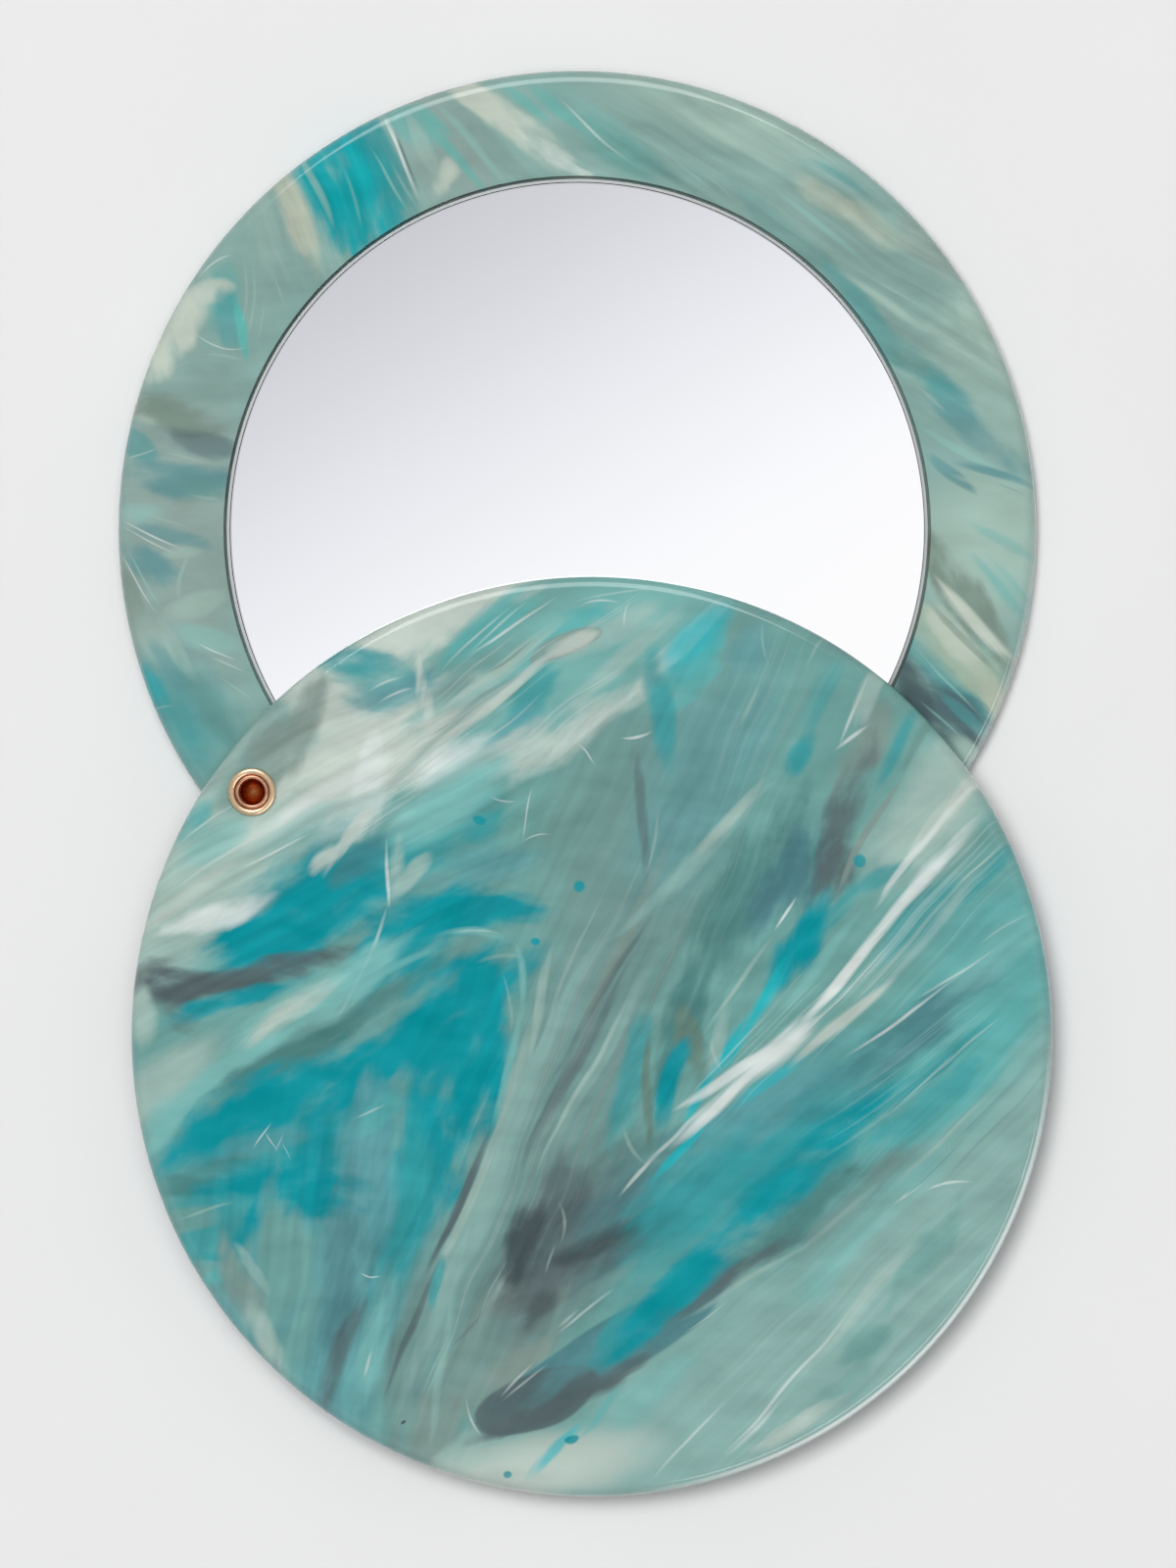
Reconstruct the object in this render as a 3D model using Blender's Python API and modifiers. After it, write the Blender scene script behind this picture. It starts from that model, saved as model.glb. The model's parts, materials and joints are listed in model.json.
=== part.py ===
"""Swivel pocket mirror: two round acetate discs that turn on one eyelet near their rims.

The mirror disc lies on its back, with the middle of its back face at the origin, and holds a round
mirror in a milled recess. The cover disc lies over it and is swung open on the eyelet, towards -Y.
Metres, +Z up out of the mirror.
"""

import math

import bpy
from mathutils import Vector

MM = 0.001

# The two discs, cut from one sheet and tumbled until their rims are round. A ring of this width is left
# round the mirror's recess, and a floor of this thickness under it.
RING_WIDTH = 8.75 * MM
RECESS_FLOOR = 1.1 * MM
RIM_ROUNDING = 1.1 * MM

# Where the pivot goes through the discs, and how far the cover is swung open from closed.
PIVOT_INSET = 3.5 * MM
PIVOT_BEARING = math.radians(219.0)
OPENING_ANGLE = math.radians(74.7)

# The mirror in its recess: glass with a ground arris, the silvering on its back, and the adhesive under it.
GLASS_DIAMETER = 58.0 * MM
GLASS_THICKNESS = 1.3 * MM
GLASS_ARRIS = 0.25 * MM
GLASS_BELOW_FACE = 0.1 * MM
GLASS_SIDE_GAP = 0.25 * MM
SILVERING_INSET = 0.1 * MM
SILVERING_THICKNESS = 0.1 * MM
ADHESIVE_INSET = 1.5 * MM
ADHESIVE_THICKNESS = 0.25 * MM

# The eyelet: a tube with a head at the back that closes its bore, and a lip rolled over at the front.
# The bore ends in a point, and this is how far its side rises from the point to the wall.
EYELET_BORE = 2.1 * MM
EYELET_BORE_POINT = 0.6 * MM
EYELET_WALL = 0.15 * MM
EYELET_HEAD_WIDTH = 0.8 * MM
EYELET_HEAD_THICKNESS = 0.15 * MM
EYELET_HEAD_FILLET = 0.105 * MM
EYELET_HEAD_BELOW_FACE = 0.1 * MM
EYELET_LIP_ROLL = 0.1 * MM

# The dished washer that the lip holds down on the cover, and the flat one that keeps the discs apart.
DISHED_WASHER_DIAMETER = 4.0 * MM
DISHED_WASHER_METAL = 0.15 * MM
DISHED_WASHER_HEIGHT = 0.4 * MM
SPACER_WIDTH = 1.0 * MM
SPACER_THICKNESS = 0.4 * MM

# Gaps: between seated pieces, round what turns, and round the eyelet's head in its seat.
SEAT_GAP = 0.05 * MM
RUNNING_GAP = 0.1 * MM
HEAD_GAP = 0.15 * MM

# How far a cutter runs past the face that it cuts.
OVERRUN = 1.0 * MM

# How finely round shapes are divided, and how sharp a corner stays crisp under smooth shading.
DISC_STEPS = 96
PIVOT_STEPS = 32
ARC_STEPS = 6
CRISP_ANGLE = math.radians(35.0)
MERGE_DISTANCE = 0.001 * MM

# Heights in the mirror's recess, from its floor up. The sheet is as thick as this stack needs.
adhesive_base = RECESS_FLOOR + SEAT_GAP
silvering_base = adhesive_base + ADHESIVE_THICKNESS + SEAT_GAP
glass_base = silvering_base + SILVERING_THICKNESS + SEAT_GAP
glass_top = glass_base + GLASS_THICKNESS
disc_thickness = glass_top + GLASS_BELOW_FACE

# Heights along the eyelet, from its head up.
head_top = EYELET_HEAD_BELOW_FACE + EYELET_HEAD_THICKNESS
spacer_base = disc_thickness + SEAT_GAP
cover_base = spacer_base + SPACER_THICKNESS + SEAT_GAP
cover_top = cover_base + disc_thickness
washer_base = cover_top + SEAT_GAP
lip_base = washer_base + DISHED_WASHER_METAL + SEAT_GAP

# Radii, from the mirror out and from the eyelet's bore out.
glass_radius = GLASS_DIAMETER / 2
recess_radius = glass_radius + GLASS_SIDE_GAP
disc_radius = recess_radius + RING_WIDTH
bore_radius = EYELET_BORE / 2
barrel_radius = bore_radius + EYELET_WALL
pivot_hole_radius = barrel_radius + RUNNING_GAP
head_radius = barrel_radius + EYELET_HEAD_WIDTH
lip_inside = EYELET_LIP_ROLL - EYELET_WALL / 2
lip_outside = EYELET_LIP_ROLL + EYELET_WALL / 2
lip_middle = bore_radius + lip_outside
lip_radius = lip_middle + lip_outside

pivot_direction = Vector((math.cos(PIVOT_BEARING), math.sin(PIVOT_BEARING), 0))
pivot_place = pivot_direction * (disc_radius - PIVOT_INSET)


def new_collection(name):
    """A collection of this name in the scene."""
    collection = bpy.data.collections.new(name)
    bpy.context.scene.collection.children.link(collection)
    return collection


def finish(name, colour, roughness, metallic=0.0):
    """A material with the piece's colour, gloss and metal."""
    material = bpy.data.materials.new(name)
    material.use_nodes = True
    shader = material.node_tree.nodes["Principled BSDF"]
    shader.inputs["Base Color"].default_value = (*colour, 1.0)
    shader.inputs["Roughness"].default_value = roughness
    shader.inputs["Metallic"].default_value = metallic
    material.diffuse_color = (*colour, 1.0)
    return material


def arc(centre, radius_x, radius_z, first_angle, last_angle):
    """Points along an elliptical arc in the XZ plane."""
    points = []
    for step in range(ARC_STEPS + 1):
        angle = first_angle + (last_angle - first_angle) * step / ARC_STEPS
        x = centre[0] + radius_x * math.cos(angle)
        z = centre[1] + radius_z * math.sin(angle)
        points.append((x, z))
    return points


def turned(name, profile, steps, material, closed=False):
    """A piece turned about its own Z axis from a profile of (radius, height) points.

    The profile runs down the outer side. It starts and ends on the axis, or is closed into a ring, or is
    left open for a pressed sheet.
    """
    count = len(profile)
    edges = [(k, k + 1) for k in range(count - 1)]
    if closed:
        edges.append((count - 1, 0))
    mesh = bpy.data.meshes.new(name)
    mesh.from_pydata([(radius, 0, height) for radius, height in profile], edges, [])
    mesh.materials.append(material)
    obj = bpy.data.objects.new(name, mesh)
    model.objects.link(obj)
    screw = obj.modifiers.new("turn", "SCREW")
    screw.steps = steps
    screw.render_steps = steps
    screw.use_merge_vertices = True
    screw.merge_threshold = MERGE_DISTANCE
    return obj


def pressed(obj, metal):
    """Gives a turned sheet its thickness, half to each side of the profile."""
    sheet = obj.modifiers.new("sheet", "SOLIDIFY")
    sheet.thickness = metal
    sheet.offset = 0
    sheet.use_even_offset = True


def round_cutter(name, radius, low, high):
    """An upright cylinder on the pivot's axis, from one height to another."""
    place = pivot_place + Vector((0, 0, (low + high) / 2))
    bpy.ops.mesh.primitive_cylinder_add(
        vertices=PIVOT_STEPS, radius=radius, depth=high - low, location=place
    )
    cutter = bpy.context.object
    cutter.name = name
    cutter.hide_render = True
    cutter.display_type = "WIRE"
    for collection in list(cutter.users_collection):
        collection.objects.unlink(cutter)
    cutters.objects.link(cutter)
    return cutter


def cut(obj, cutter):
    """Takes the cutter's shape out of the piece."""
    boolean = obj.modifiers.new(cutter.name, "BOOLEAN")
    boolean.operation = "DIFFERENCE"
    boolean.solver = "EXACT"
    boolean.object = cutter


def rim_of_disc(base):
    """The profile of a disc's rim from its front face down to its back face, rounded at both corners."""
    flat_radius = disc_radius - RIM_ROUNDING
    front = (flat_radius, base + disc_thickness - RIM_ROUNDING)
    back = (flat_radius, base + RIM_ROUNDING)
    front_arc = arc(front, RIM_ROUNDING, RIM_ROUNDING, math.pi / 2, 0)
    back_arc = arc(back, RIM_ROUNDING, RIM_ROUNDING, 0, -math.pi / 2)
    return front_arc + back_arc


def flat_disc(name, radius, base, thickness, material):
    """A plain round layer with square corners."""
    top = base + thickness
    return turned(name, [(0, top), (radius, top), (radius, base), (0, base)], DISC_STEPS, material)


def make_mirror_disc():
    """The lower disc, with the mirror's recess, and a seat at the back that sinks the eyelet's head."""
    recess = [(0, RECESS_FLOOR), (recess_radius, RECESS_FLOOR), (recess_radius, disc_thickness)]
    profile = recess + rim_of_disc(0) + [(0, 0)]
    disc = turned("mirror_disc", profile, DISC_STEPS, finish("sage_acetate", (0.24, 0.42, 0.39), 0.15))
    cut(disc, pivot_hole)
    cut(disc, round_cutter("head_seat", head_radius + HEAD_GAP, -OVERRUN, head_top + SEAT_GAP))


def make_cover_disc():
    """The upper disc. Its parent stands on the pivot's axis and is turned by the opening angle."""
    axis = bpy.data.objects.new("swivel_axis", None)
    axis.location = pivot_place
    axis.rotation_euler.z = -OPENING_ANGLE
    model.objects.link(axis)
    profile = [(0, cover_top)] + rim_of_disc(cover_base) + [(0, cover_base)]
    disc = turned("cover_disc", profile, DISC_STEPS, finish("teal_acetate", (0.17, 0.40, 0.42), 0.15))
    disc.parent = axis
    disc.location = -pivot_place
    cut(disc, pivot_hole)


def make_mirror_glass():
    """The glass, with its ground arris at the front edge."""
    profile = [
        (0, glass_top),
        (glass_radius - GLASS_ARRIS, glass_top),
        (glass_radius, glass_top - GLASS_ARRIS),
        (glass_radius, glass_base),
        (0, glass_base),
    ]
    turned("mirror_glass", profile, DISC_STEPS, finish("mirror", (0.85, 0.86, 0.88), 0.03, 1.0))


def make_mirror_backing():
    """The silvering with its paint, and the adhesive that holds the mirror to the floor of its recess."""
    paint = finish("backing_paint", (0.20, 0.21, 0.22), 0.5)
    flat_disc("mirror_silvering", glass_radius - SILVERING_INSET, silvering_base, SILVERING_THICKNESS, paint)
    glue = finish("adhesive", (0.75, 0.74, 0.70), 0.7)
    flat_disc("adhesive_disc", glass_radius - ADHESIVE_INSET, adhesive_base, ADHESIVE_THICKNESS, glue)


def make_pivot_eyelet():
    """The eyelet: its profile runs up the closed bore, over the rolled lip and down the barrel to the head."""
    bore = [(0, head_top), (bore_radius, head_top + EYELET_BORE_POINT)]
    lip_centre = (lip_middle, lip_base)
    lip = arc(lip_centre, lip_outside, lip_outside, math.pi, 0)
    lip += arc(lip_centre, lip_inside, lip_inside, 0, math.pi)
    fillet_centre = (barrel_radius + EYELET_HEAD_FILLET, head_top + EYELET_HEAD_FILLET)
    fillet = arc(fillet_centre, EYELET_HEAD_FILLET, EYELET_HEAD_FILLET, math.pi, math.pi * 3 / 2)
    head = [(head_radius, head_top), (head_radius, EYELET_HEAD_BELOW_FACE), (0, EYELET_HEAD_BELOW_FACE)]
    copper = finish("eyelet_copper", (0.86, 0.52, 0.36), 0.2, 1.0)
    eyelet = turned("pivot_eyelet", bore + lip + fillet + head, PIVOT_STEPS, copper)
    eyelet.location = pivot_place


def make_eyelet_washer():
    """The dished washer: a flat seat for the eyelet's lip, with a rolled ring round it."""
    inner_radius = barrel_radius + SEAT_GAP
    sheet_middle = washer_base + DISHED_WASHER_METAL / 2
    roll_inner = lip_radius + SEAT_GAP + DISHED_WASHER_METAL / 2
    roll_outer = (DISHED_WASHER_DIAMETER - DISHED_WASHER_METAL) / 2
    roll_centre = ((roll_inner + roll_outer) / 2, sheet_middle)
    roll_height = DISHED_WASHER_HEIGHT - DISHED_WASHER_METAL
    roll = arc(roll_centre, (roll_outer - roll_inner) / 2, roll_height, math.pi, 0)
    profile = [(inner_radius, sheet_middle)] + roll
    copper = finish("washer_copper", (0.86, 0.52, 0.36), 0.2, 1.0)
    washer = turned("eyelet_washer", profile, PIVOT_STEPS, copper)
    washer.location = pivot_place
    pressed(washer, DISHED_WASHER_METAL)


def make_pivot_spacer():
    """The flat nylon washer on the eyelet between the two discs."""
    outer_radius = pivot_hole_radius + SPACER_WIDTH
    top = spacer_base + SPACER_THICKNESS
    profile = [
        (pivot_hole_radius, top),
        (outer_radius, top),
        (outer_radius, spacer_base),
        (pivot_hole_radius, spacer_base),
    ]
    nylon = finish("nylon", (0.82, 0.82, 0.78), 0.4)
    spacer = turned("pivot_spacer", profile, PIVOT_STEPS, nylon, closed=True)
    spacer.location = pivot_place


def settle_shapes():
    """Applies what shapes each piece, so that smooth shading can keep its corners crisp."""
    depsgraph = bpy.context.evaluated_depsgraph_get()
    pieces = [obj for obj in model.objects if obj.type == "MESH"]
    shapes = [bpy.data.meshes.new_from_object(piece.evaluated_get(depsgraph)) for piece in pieces]
    for piece, shape in zip(pieces, shapes):
        piece.modifiers.clear()
        piece.data = shape
        shape.shade_smooth()
        shape.set_sharp_from_angle(angle=CRISP_ANGLE)


for old in list(bpy.data.objects):
    bpy.data.objects.remove(old)
model = new_collection("pocket_mirror")
cutters = new_collection("cutters")
pivot_hole = round_cutter("pivot_hole", pivot_hole_radius, -OVERRUN, cover_top + OVERRUN)

make_mirror_disc()
make_cover_disc()
make_mirror_glass()
make_mirror_backing()
make_pivot_eyelet()
make_eyelet_washer()
make_pivot_spacer()
settle_shapes()
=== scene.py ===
"""Looks of the swivel pocket mirror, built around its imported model.

Two round discs of marbled acetate turn on one copper-coloured eyelet, and the lower one holds a round
mirror. Metres, +Z up out of the mirror. Sizes on the marbled faces are in millimetres.
"""

import json
import math

import bmesh
import bpy
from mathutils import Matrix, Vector


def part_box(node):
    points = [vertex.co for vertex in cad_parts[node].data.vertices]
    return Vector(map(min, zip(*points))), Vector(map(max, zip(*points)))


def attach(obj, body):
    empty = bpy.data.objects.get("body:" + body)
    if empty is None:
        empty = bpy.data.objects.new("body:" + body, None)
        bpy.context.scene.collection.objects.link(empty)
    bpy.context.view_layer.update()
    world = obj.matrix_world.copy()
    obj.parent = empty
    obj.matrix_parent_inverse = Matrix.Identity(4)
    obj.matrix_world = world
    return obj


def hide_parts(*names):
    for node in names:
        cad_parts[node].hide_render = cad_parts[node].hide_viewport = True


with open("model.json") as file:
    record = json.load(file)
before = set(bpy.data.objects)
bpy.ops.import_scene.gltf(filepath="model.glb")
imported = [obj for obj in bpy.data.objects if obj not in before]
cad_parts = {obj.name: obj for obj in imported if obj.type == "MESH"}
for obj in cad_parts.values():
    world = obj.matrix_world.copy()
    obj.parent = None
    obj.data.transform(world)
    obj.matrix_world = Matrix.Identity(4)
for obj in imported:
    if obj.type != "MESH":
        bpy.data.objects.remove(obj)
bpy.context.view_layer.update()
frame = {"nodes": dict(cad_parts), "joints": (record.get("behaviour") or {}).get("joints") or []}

MM = 0.001

# The view: straight down on the mirror from a metre above it, through a long lens. The camera stands over
# the middle of the picture, which lies below and right of the mirror disc's middle. A picture point covers
# PIXEL at the height of the discs' faces.
CAMERA_HEIGHT = 1.0
FACE_HEIGHT = 0.005
PICTURE_HEIGHT_PX = 1600
PICTURE_MIDDLE_PX = (600.0, 800.0)
DISC_MIDDLE_PX = (589.0, 539.7)
PIXEL = 0.0809 * MM
camera_data = bpy.data.cameras.new("camera")
camera_data.lens = camera_data.sensor_width * (CAMERA_HEIGHT - FACE_HEIGHT) / (PICTURE_HEIGHT_PX * PIXEL)
camera = bpy.data.objects.new("camera", camera_data)
camera.location = (
    (PICTURE_MIDDLE_PX[0] - DISC_MIDDLE_PX[0]) * PIXEL,
    (DISC_MIDDLE_PX[1] - PICTURE_MIDDLE_PX[1]) * PIXEL,
    CAMERA_HEIGHT,
)
bpy.context.scene.collection.objects.link(camera)
bpy.context.scene.camera = camera
bpy.context.scene.view_settings.view_transform = "Standard"

# The floor: a pale matt sheet with a faint grain, which the mirror disc lies on. Its material is the first,
# so the wires, colours and materials that the later pieces are finished with start here.


class Wire:
    """One output of a shader's nodes. Arithmetic on it adds Math nodes to its tree."""

    def __init__(self, tree, socket):
        self.tree = tree
        self.socket = socket

    def node(self, kind, settings, values, output=0):
        """Adds a node, sets it up, fills or links its inputs, and gives one of its outputs."""
        made = self.tree.nodes.new(kind)
        for name, setting in settings.items():
            if name == "stops":
                set_stops(made.color_ramp, setting)
            else:
                setattr(made, name, setting)
        for name, value in values.items():
            if isinstance(value, Wire):
                self.tree.links.new(value.socket, made.inputs[name])
            else:
                made.inputs[name].default_value = value
        return Wire(self.tree, made.outputs[output])

    def math(self, operation, *values):
        """A Math node on the given values."""
        return self.node("ShaderNodeMath", {"operation": operation}, dict(enumerate(values)))

    def vector(self, operation, *values, output=0):
        """A Vector Math node on the given values."""
        return self.node("ShaderNodeVectorMath", {"operation": operation}, dict(enumerate(values)), output)

    def painted(self, colour, amount, blend="MIX"):
        """This colour with another laid over it, by an amount from 0 to 1."""
        settings = {"data_type": "RGBA", "blend_type": blend}
        return self.node("ShaderNodeMix", settings, {0: amount, 6: self, 7: colour}, output=2)

    def faded(self, low, high, low_value=0.0, high_value=1.0):
        """A smooth step from one value to another, as this wire goes from low to high."""
        values = {0: self, 1: low, 2: high, 3: low_value, 4: high_value}
        return self.node("ShaderNodeMapRange", {"interpolation_type": "SMOOTHSTEP"}, values)

    def __add__(self, other):
        return self.math("ADD", self, other)

    def __sub__(self, other):
        return self.math("SUBTRACT", self, other)

    def __rsub__(self, other):
        return self.math("SUBTRACT", other, self)

    def __mul__(self, other):
        return self.math("MULTIPLY", self, other)

    def __truediv__(self, other):
        return self.math("DIVIDE", self, other)

    __radd__ = __add__
    __rmul__ = __mul__


def set_stops(ramp, stops):
    """Sets a colour ramp's stops, from pairs of place and colour."""
    while len(ramp.elements) < len(stops):
        ramp.elements.new(1.0)
    for element, (place, colour) in zip(ramp.elements, stops):
        element.position = place
        element.color = colour


def seen(red, green, blue):
    """A colour as the eye sees it, from 0 to 255, as the shader's light values."""
    values = []
    for part in (red, green, blue):
        share = part / 255
        values.append(share / 12.92 if share <= 0.04045 else ((share + 0.055) / 1.055) ** 2.4)
    return (*values, 1.0)


def new_material(name, **constants):
    """A material with constants on its shader, and a wire on the Object coordinates."""
    material = bpy.data.materials.new(name)
    material.use_nodes = True
    tree = material.node_tree
    shader = tree.nodes["Principled BSDF"]
    for label, value in constants.items():
        shader.inputs[label.replace("_", " ")].default_value = value
    place = Wire(tree, tree.nodes.new("ShaderNodeTexCoord").outputs["Object"])
    return material, shader, place


def connect(shader, label, wire):
    """Links a wire to one of the shader's inputs."""
    wire.tree.links.new(wire.socket, shader.inputs[label])


FLOOR_SIZE = 1.6
FLOOR_GRAIN = 40.0
FLOOR_SHADES = (0.80, 0.82)
bpy.ops.object.select_all(action="DESELECT")
bpy.ops.mesh.primitive_plane_add(size=FLOOR_SIZE, location=(0, 0, 0))
floor = bpy.context.object
floor.name = "floor"
material, shader, place = new_material("floor", Roughness=0.9, Specular_IOR_Level=0.0)
grain = place.node("ShaderNodeTexNoise", {}, {"Vector": place, "Scale": FLOOR_GRAIN, "Detail": 2.0})
connect(shader, "Base Color", grain.faded(0.0, 1.0, *FLOOR_SHADES))
floor.data.materials.append(material)

# The light: an even room, paler near the horizon, and four soft lamps. What the camera, the mirror and the
# gloss see of the room is set apart from the light that it gives, so that metal and mirror show a pale room.
SKY = 0.29
HORIZON = 0.50
HORIZON_HEIGHT = 0.2
BACKDROP = 0.81
ROOM = 0.60
world = bpy.data.worlds.new("studio")
bpy.context.scene.world = world
world.use_nodes = True
background = world.node_tree.nodes["Background"]
background.inputs["Color"].default_value = (1, 1, 1, 1)
direction = Wire(world.node_tree, world.node_tree.nodes.new("ShaderNodeTexCoord").outputs["Generated"])
height = direction.node("ShaderNodeSeparateXYZ", {}, {0: direction}, output=2)
camera_ray = direction.node("ShaderNodeLightPath", {}, {}, output="Is Camera Ray")
glossy_ray = direction.node("ShaderNodeLightPath", {}, {}, output="Is Glossy Ray")
light = height.faded(0.0, HORIZON_HEIGHT, HORIZON, SKY) * (1 - camera_ray - glossy_ray)
connect(background, "Strength", light + camera_ray * BACKDROP + glossy_ray * ROOM)


def soft_light(name, azimuth, elevation, distance, width, length, power):
    """A rectangular lamp that looks at the object. Azimuth 0 is towards +Y, and turns towards +X."""
    data = bpy.data.lights.new(name, "AREA")
    data.shape = "RECTANGLE"
    data.size = width
    data.size_y = length
    data.energy = power
    lamp = bpy.data.objects.new(name, data)
    turn = math.radians(azimuth)
    rise = math.radians(elevation)
    away = Vector((math.sin(turn) * math.cos(rise), math.cos(turn) * math.cos(rise), math.sin(rise)))
    lamp.location = away * distance
    lamp.rotation_euler = away.to_track_quat("Z", "Y").to_euler()
    bpy.context.scene.collection.objects.link(lamp)
    return lamp


# The strip is seen only in the gloss, as the pale band on the upper rims. The top light and the key light
# are seen only as light: the key stands at the upper left and puts the shadow at the lower right. The low
# light is seen only in the gloss, at the lower right of the rims and of the eyelet.
strip_light = soft_light("strip_light", azimuth=-6, elevation=51, distance=1.6, width=0.96, length=1.23,
                         power=13.4)
strip_light.visible_diffuse = False
top_light = soft_light("top_light", azimuth=-45, elevation=86, distance=2.0, width=1.20, length=1.20,
                       power=15.6)
top_light.visible_glossy = False
key_light = soft_light("key_light", azimuth=-45, elevation=78, distance=2.2, width=0.60, length=0.60,
                       power=19.0)
key_light.visible_glossy = False
low_light = soft_light("low_light", azimuth=138, elevation=40, distance=1.0, width=0.95, length=0.26,
                       power=2.4)
low_light.visible_diffuse = False

# The card overhead, which the mirror shows: grey at the upper left and white at the lower right, with a
# dark opening for the camera. Only mirrors and gloss see it.
CARD_HEIGHT = 1.2
CARD_SIZE = 0.9
CARD_SHADES = (
    (0.0, (197, 197, 202)),
    (0.5, (233, 234, 238)),
    (0.85, (252, 252, 254)),
    (1.0, (255, 255, 255)),
)
CARD_DIRECTION = (0.5, -0.867, 0)
CARD_REACH = (-0.115, 0.02)
CARD_STRENGTH = 1.04
OPENING_MIDDLE = (0.001, -0.085, 0)
OPENING_SIZE = (0.1, 0.07, 1)
OPENING_EDGE = (1.3, 0.7)
OPENING_SHADE = (0.03, 0.03, 0.03, 1.0)
bpy.ops.object.select_all(action="DESELECT")
bpy.ops.mesh.primitive_plane_add(size=CARD_SIZE, location=(0, 0, CARD_HEIGHT))
card = bpy.context.object
card.name = "overhead_card"
card.visible_camera = False
card.visible_diffuse = False
card.visible_shadow = False
material, shader, place = new_material(
    "overhead_card", Base_Color=(0, 0, 0, 1), Specular_IOR_Level=0.0, Emission_Strength=CARD_STRENGTH)
along = place.vector("DOT_PRODUCT", place, CARD_DIRECTION, output=1)
stops = [(share, seen(*shade)) for share, shade in CARD_SHADES]
shade = along.node("ShaderNodeValToRGB", {"stops": stops}, {0: along.faded(*CARD_REACH)})
opening = place.node("ShaderNodeMapping", {"vector_type": "TEXTURE"},
                     {"Vector": place, "Location": OPENING_MIDDLE, "Scale": OPENING_SIZE})
dark = opening.vector("LENGTH", opening, output=1).faded(*OPENING_EDGE)
connect(shader, "Emission Color", shade.painted(OPENING_SHADE, dark))
card.data.materials.append(material)

# The mirror disc: 3 mm of marbled acetate sheet with rims tumbled round, a recess milled for the mirror,
# and a hole for the eyelet with a shallow seat for its head at the back.
DISC_SIDES = 256
RIM_ROUNDING = 1.1 * MM
RIM_STEPS = 10
FACE_MARGIN = 0.03 * MM
RECESS_RADIUS = 29.25 * MM
RECESS_DEPTH = 1.9 * MM
RECESS_ARRIS = 0.05 * MM
PIVOT_HOLE_RADIUS = 1.3 * MM
HEAD_SEAT_RADIUS = 2.15 * MM
HEAD_SEAT_DEPTH = 0.3 * MM
HOLE_SIDES = 96
OVERRUN = 1.0 * MM
SHARP_CORNER = math.radians(30.0)
pivot = Vector(frame["joints"][0]["pos_m"])


def begin(add, name, **sizes):
    """Adds a primitive with nothing else selected, and opens it for editing."""
    bpy.ops.object.select_all(action="DESELECT")
    add(**sizes)
    piece = bpy.context.object
    piece.name = name
    piece.data.name = name
    bpy.ops.object.transform_apply(location=True, rotation=True, scale=True)
    bpy.ops.object.mode_set(mode="EDIT")
    return piece


def pick(piece, kind, wanted):
    """Selects just the faces or edges for which the test holds."""
    bpy.ops.mesh.select_mode(type=kind)
    bpy.ops.mesh.select_all(action="DESELECT")
    mesh = bmesh.from_edit_mesh(piece.data)
    for element in mesh.faces if kind == "FACE" else mesh.edges:
        if wanted(element):
            element.select_set(True)
    bmesh.update_edit_mesh(piece.data)


def level(edge):
    """True for an edge that lies level."""
    return abs(edge.verts[0].co.z - edge.verts[1].co.z) < FACE_MARGIN


def cap(face):
    """True for one of the round faces that close the piece."""
    return len(face.verts) > 4


def top_cap(face):
    """True for the cap that faces up."""
    return cap(face) and face.normal.z > 0


def changed(piece, name, kind, **settings):
    """Applies a modifier with these settings to the piece."""
    modifier = piece.modifiers.new(name, kind)
    for label, setting in settings.items():
        setattr(modifier, label, setting)
    bpy.context.view_layer.objects.active = piece
    bpy.ops.object.modifier_apply(modifier=name)


def cut_round(piece, name, centre, radius, low, high):
    """Cuts a round hole through the piece, from one height to another."""
    bpy.ops.object.select_all(action="DESELECT")
    middle = (centre.x, centre.y, (low + high) / 2)
    bpy.ops.mesh.primitive_cylinder_add(vertices=HOLE_SIDES, radius=radius, depth=high - low, location=middle)
    cutter = bpy.context.object
    changed(piece, name, "BOOLEAN", operation="DIFFERENCE", object=cutter)
    bpy.data.objects.remove(cutter)


def smooth(piece, corner):
    """Shades the piece smooth, with corners sharper than the given angle left crisp."""
    bpy.ops.object.select_all(action="DESELECT")
    piece.select_set(True)
    bpy.context.view_layer.objects.active = piece
    bpy.ops.object.shade_smooth_by_angle(angle=corner)


def tumbled_disc(name, node):
    """A disc the size of its CAD node with round rims, open for editing, with its middle and its faces."""
    low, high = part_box(node)
    middle = (low + high) / 2
    piece = begin(bpy.ops.mesh.primitive_cylinder_add, name, vertices=DISC_SIDES,
                  radius=(high.x - low.x) / 2, depth=high.z - low.z, location=middle)
    pick(piece, "EDGE", level)
    bpy.ops.mesh.bevel(offset=RIM_ROUNDING, segments=RIM_STEPS, profile=0.5, clamp_overlap=False)
    pick(piece, "FACE", cap)
    bpy.ops.mesh.inset(thickness=FACE_MARGIN)
    return piece, middle, low.z, high.z


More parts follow.
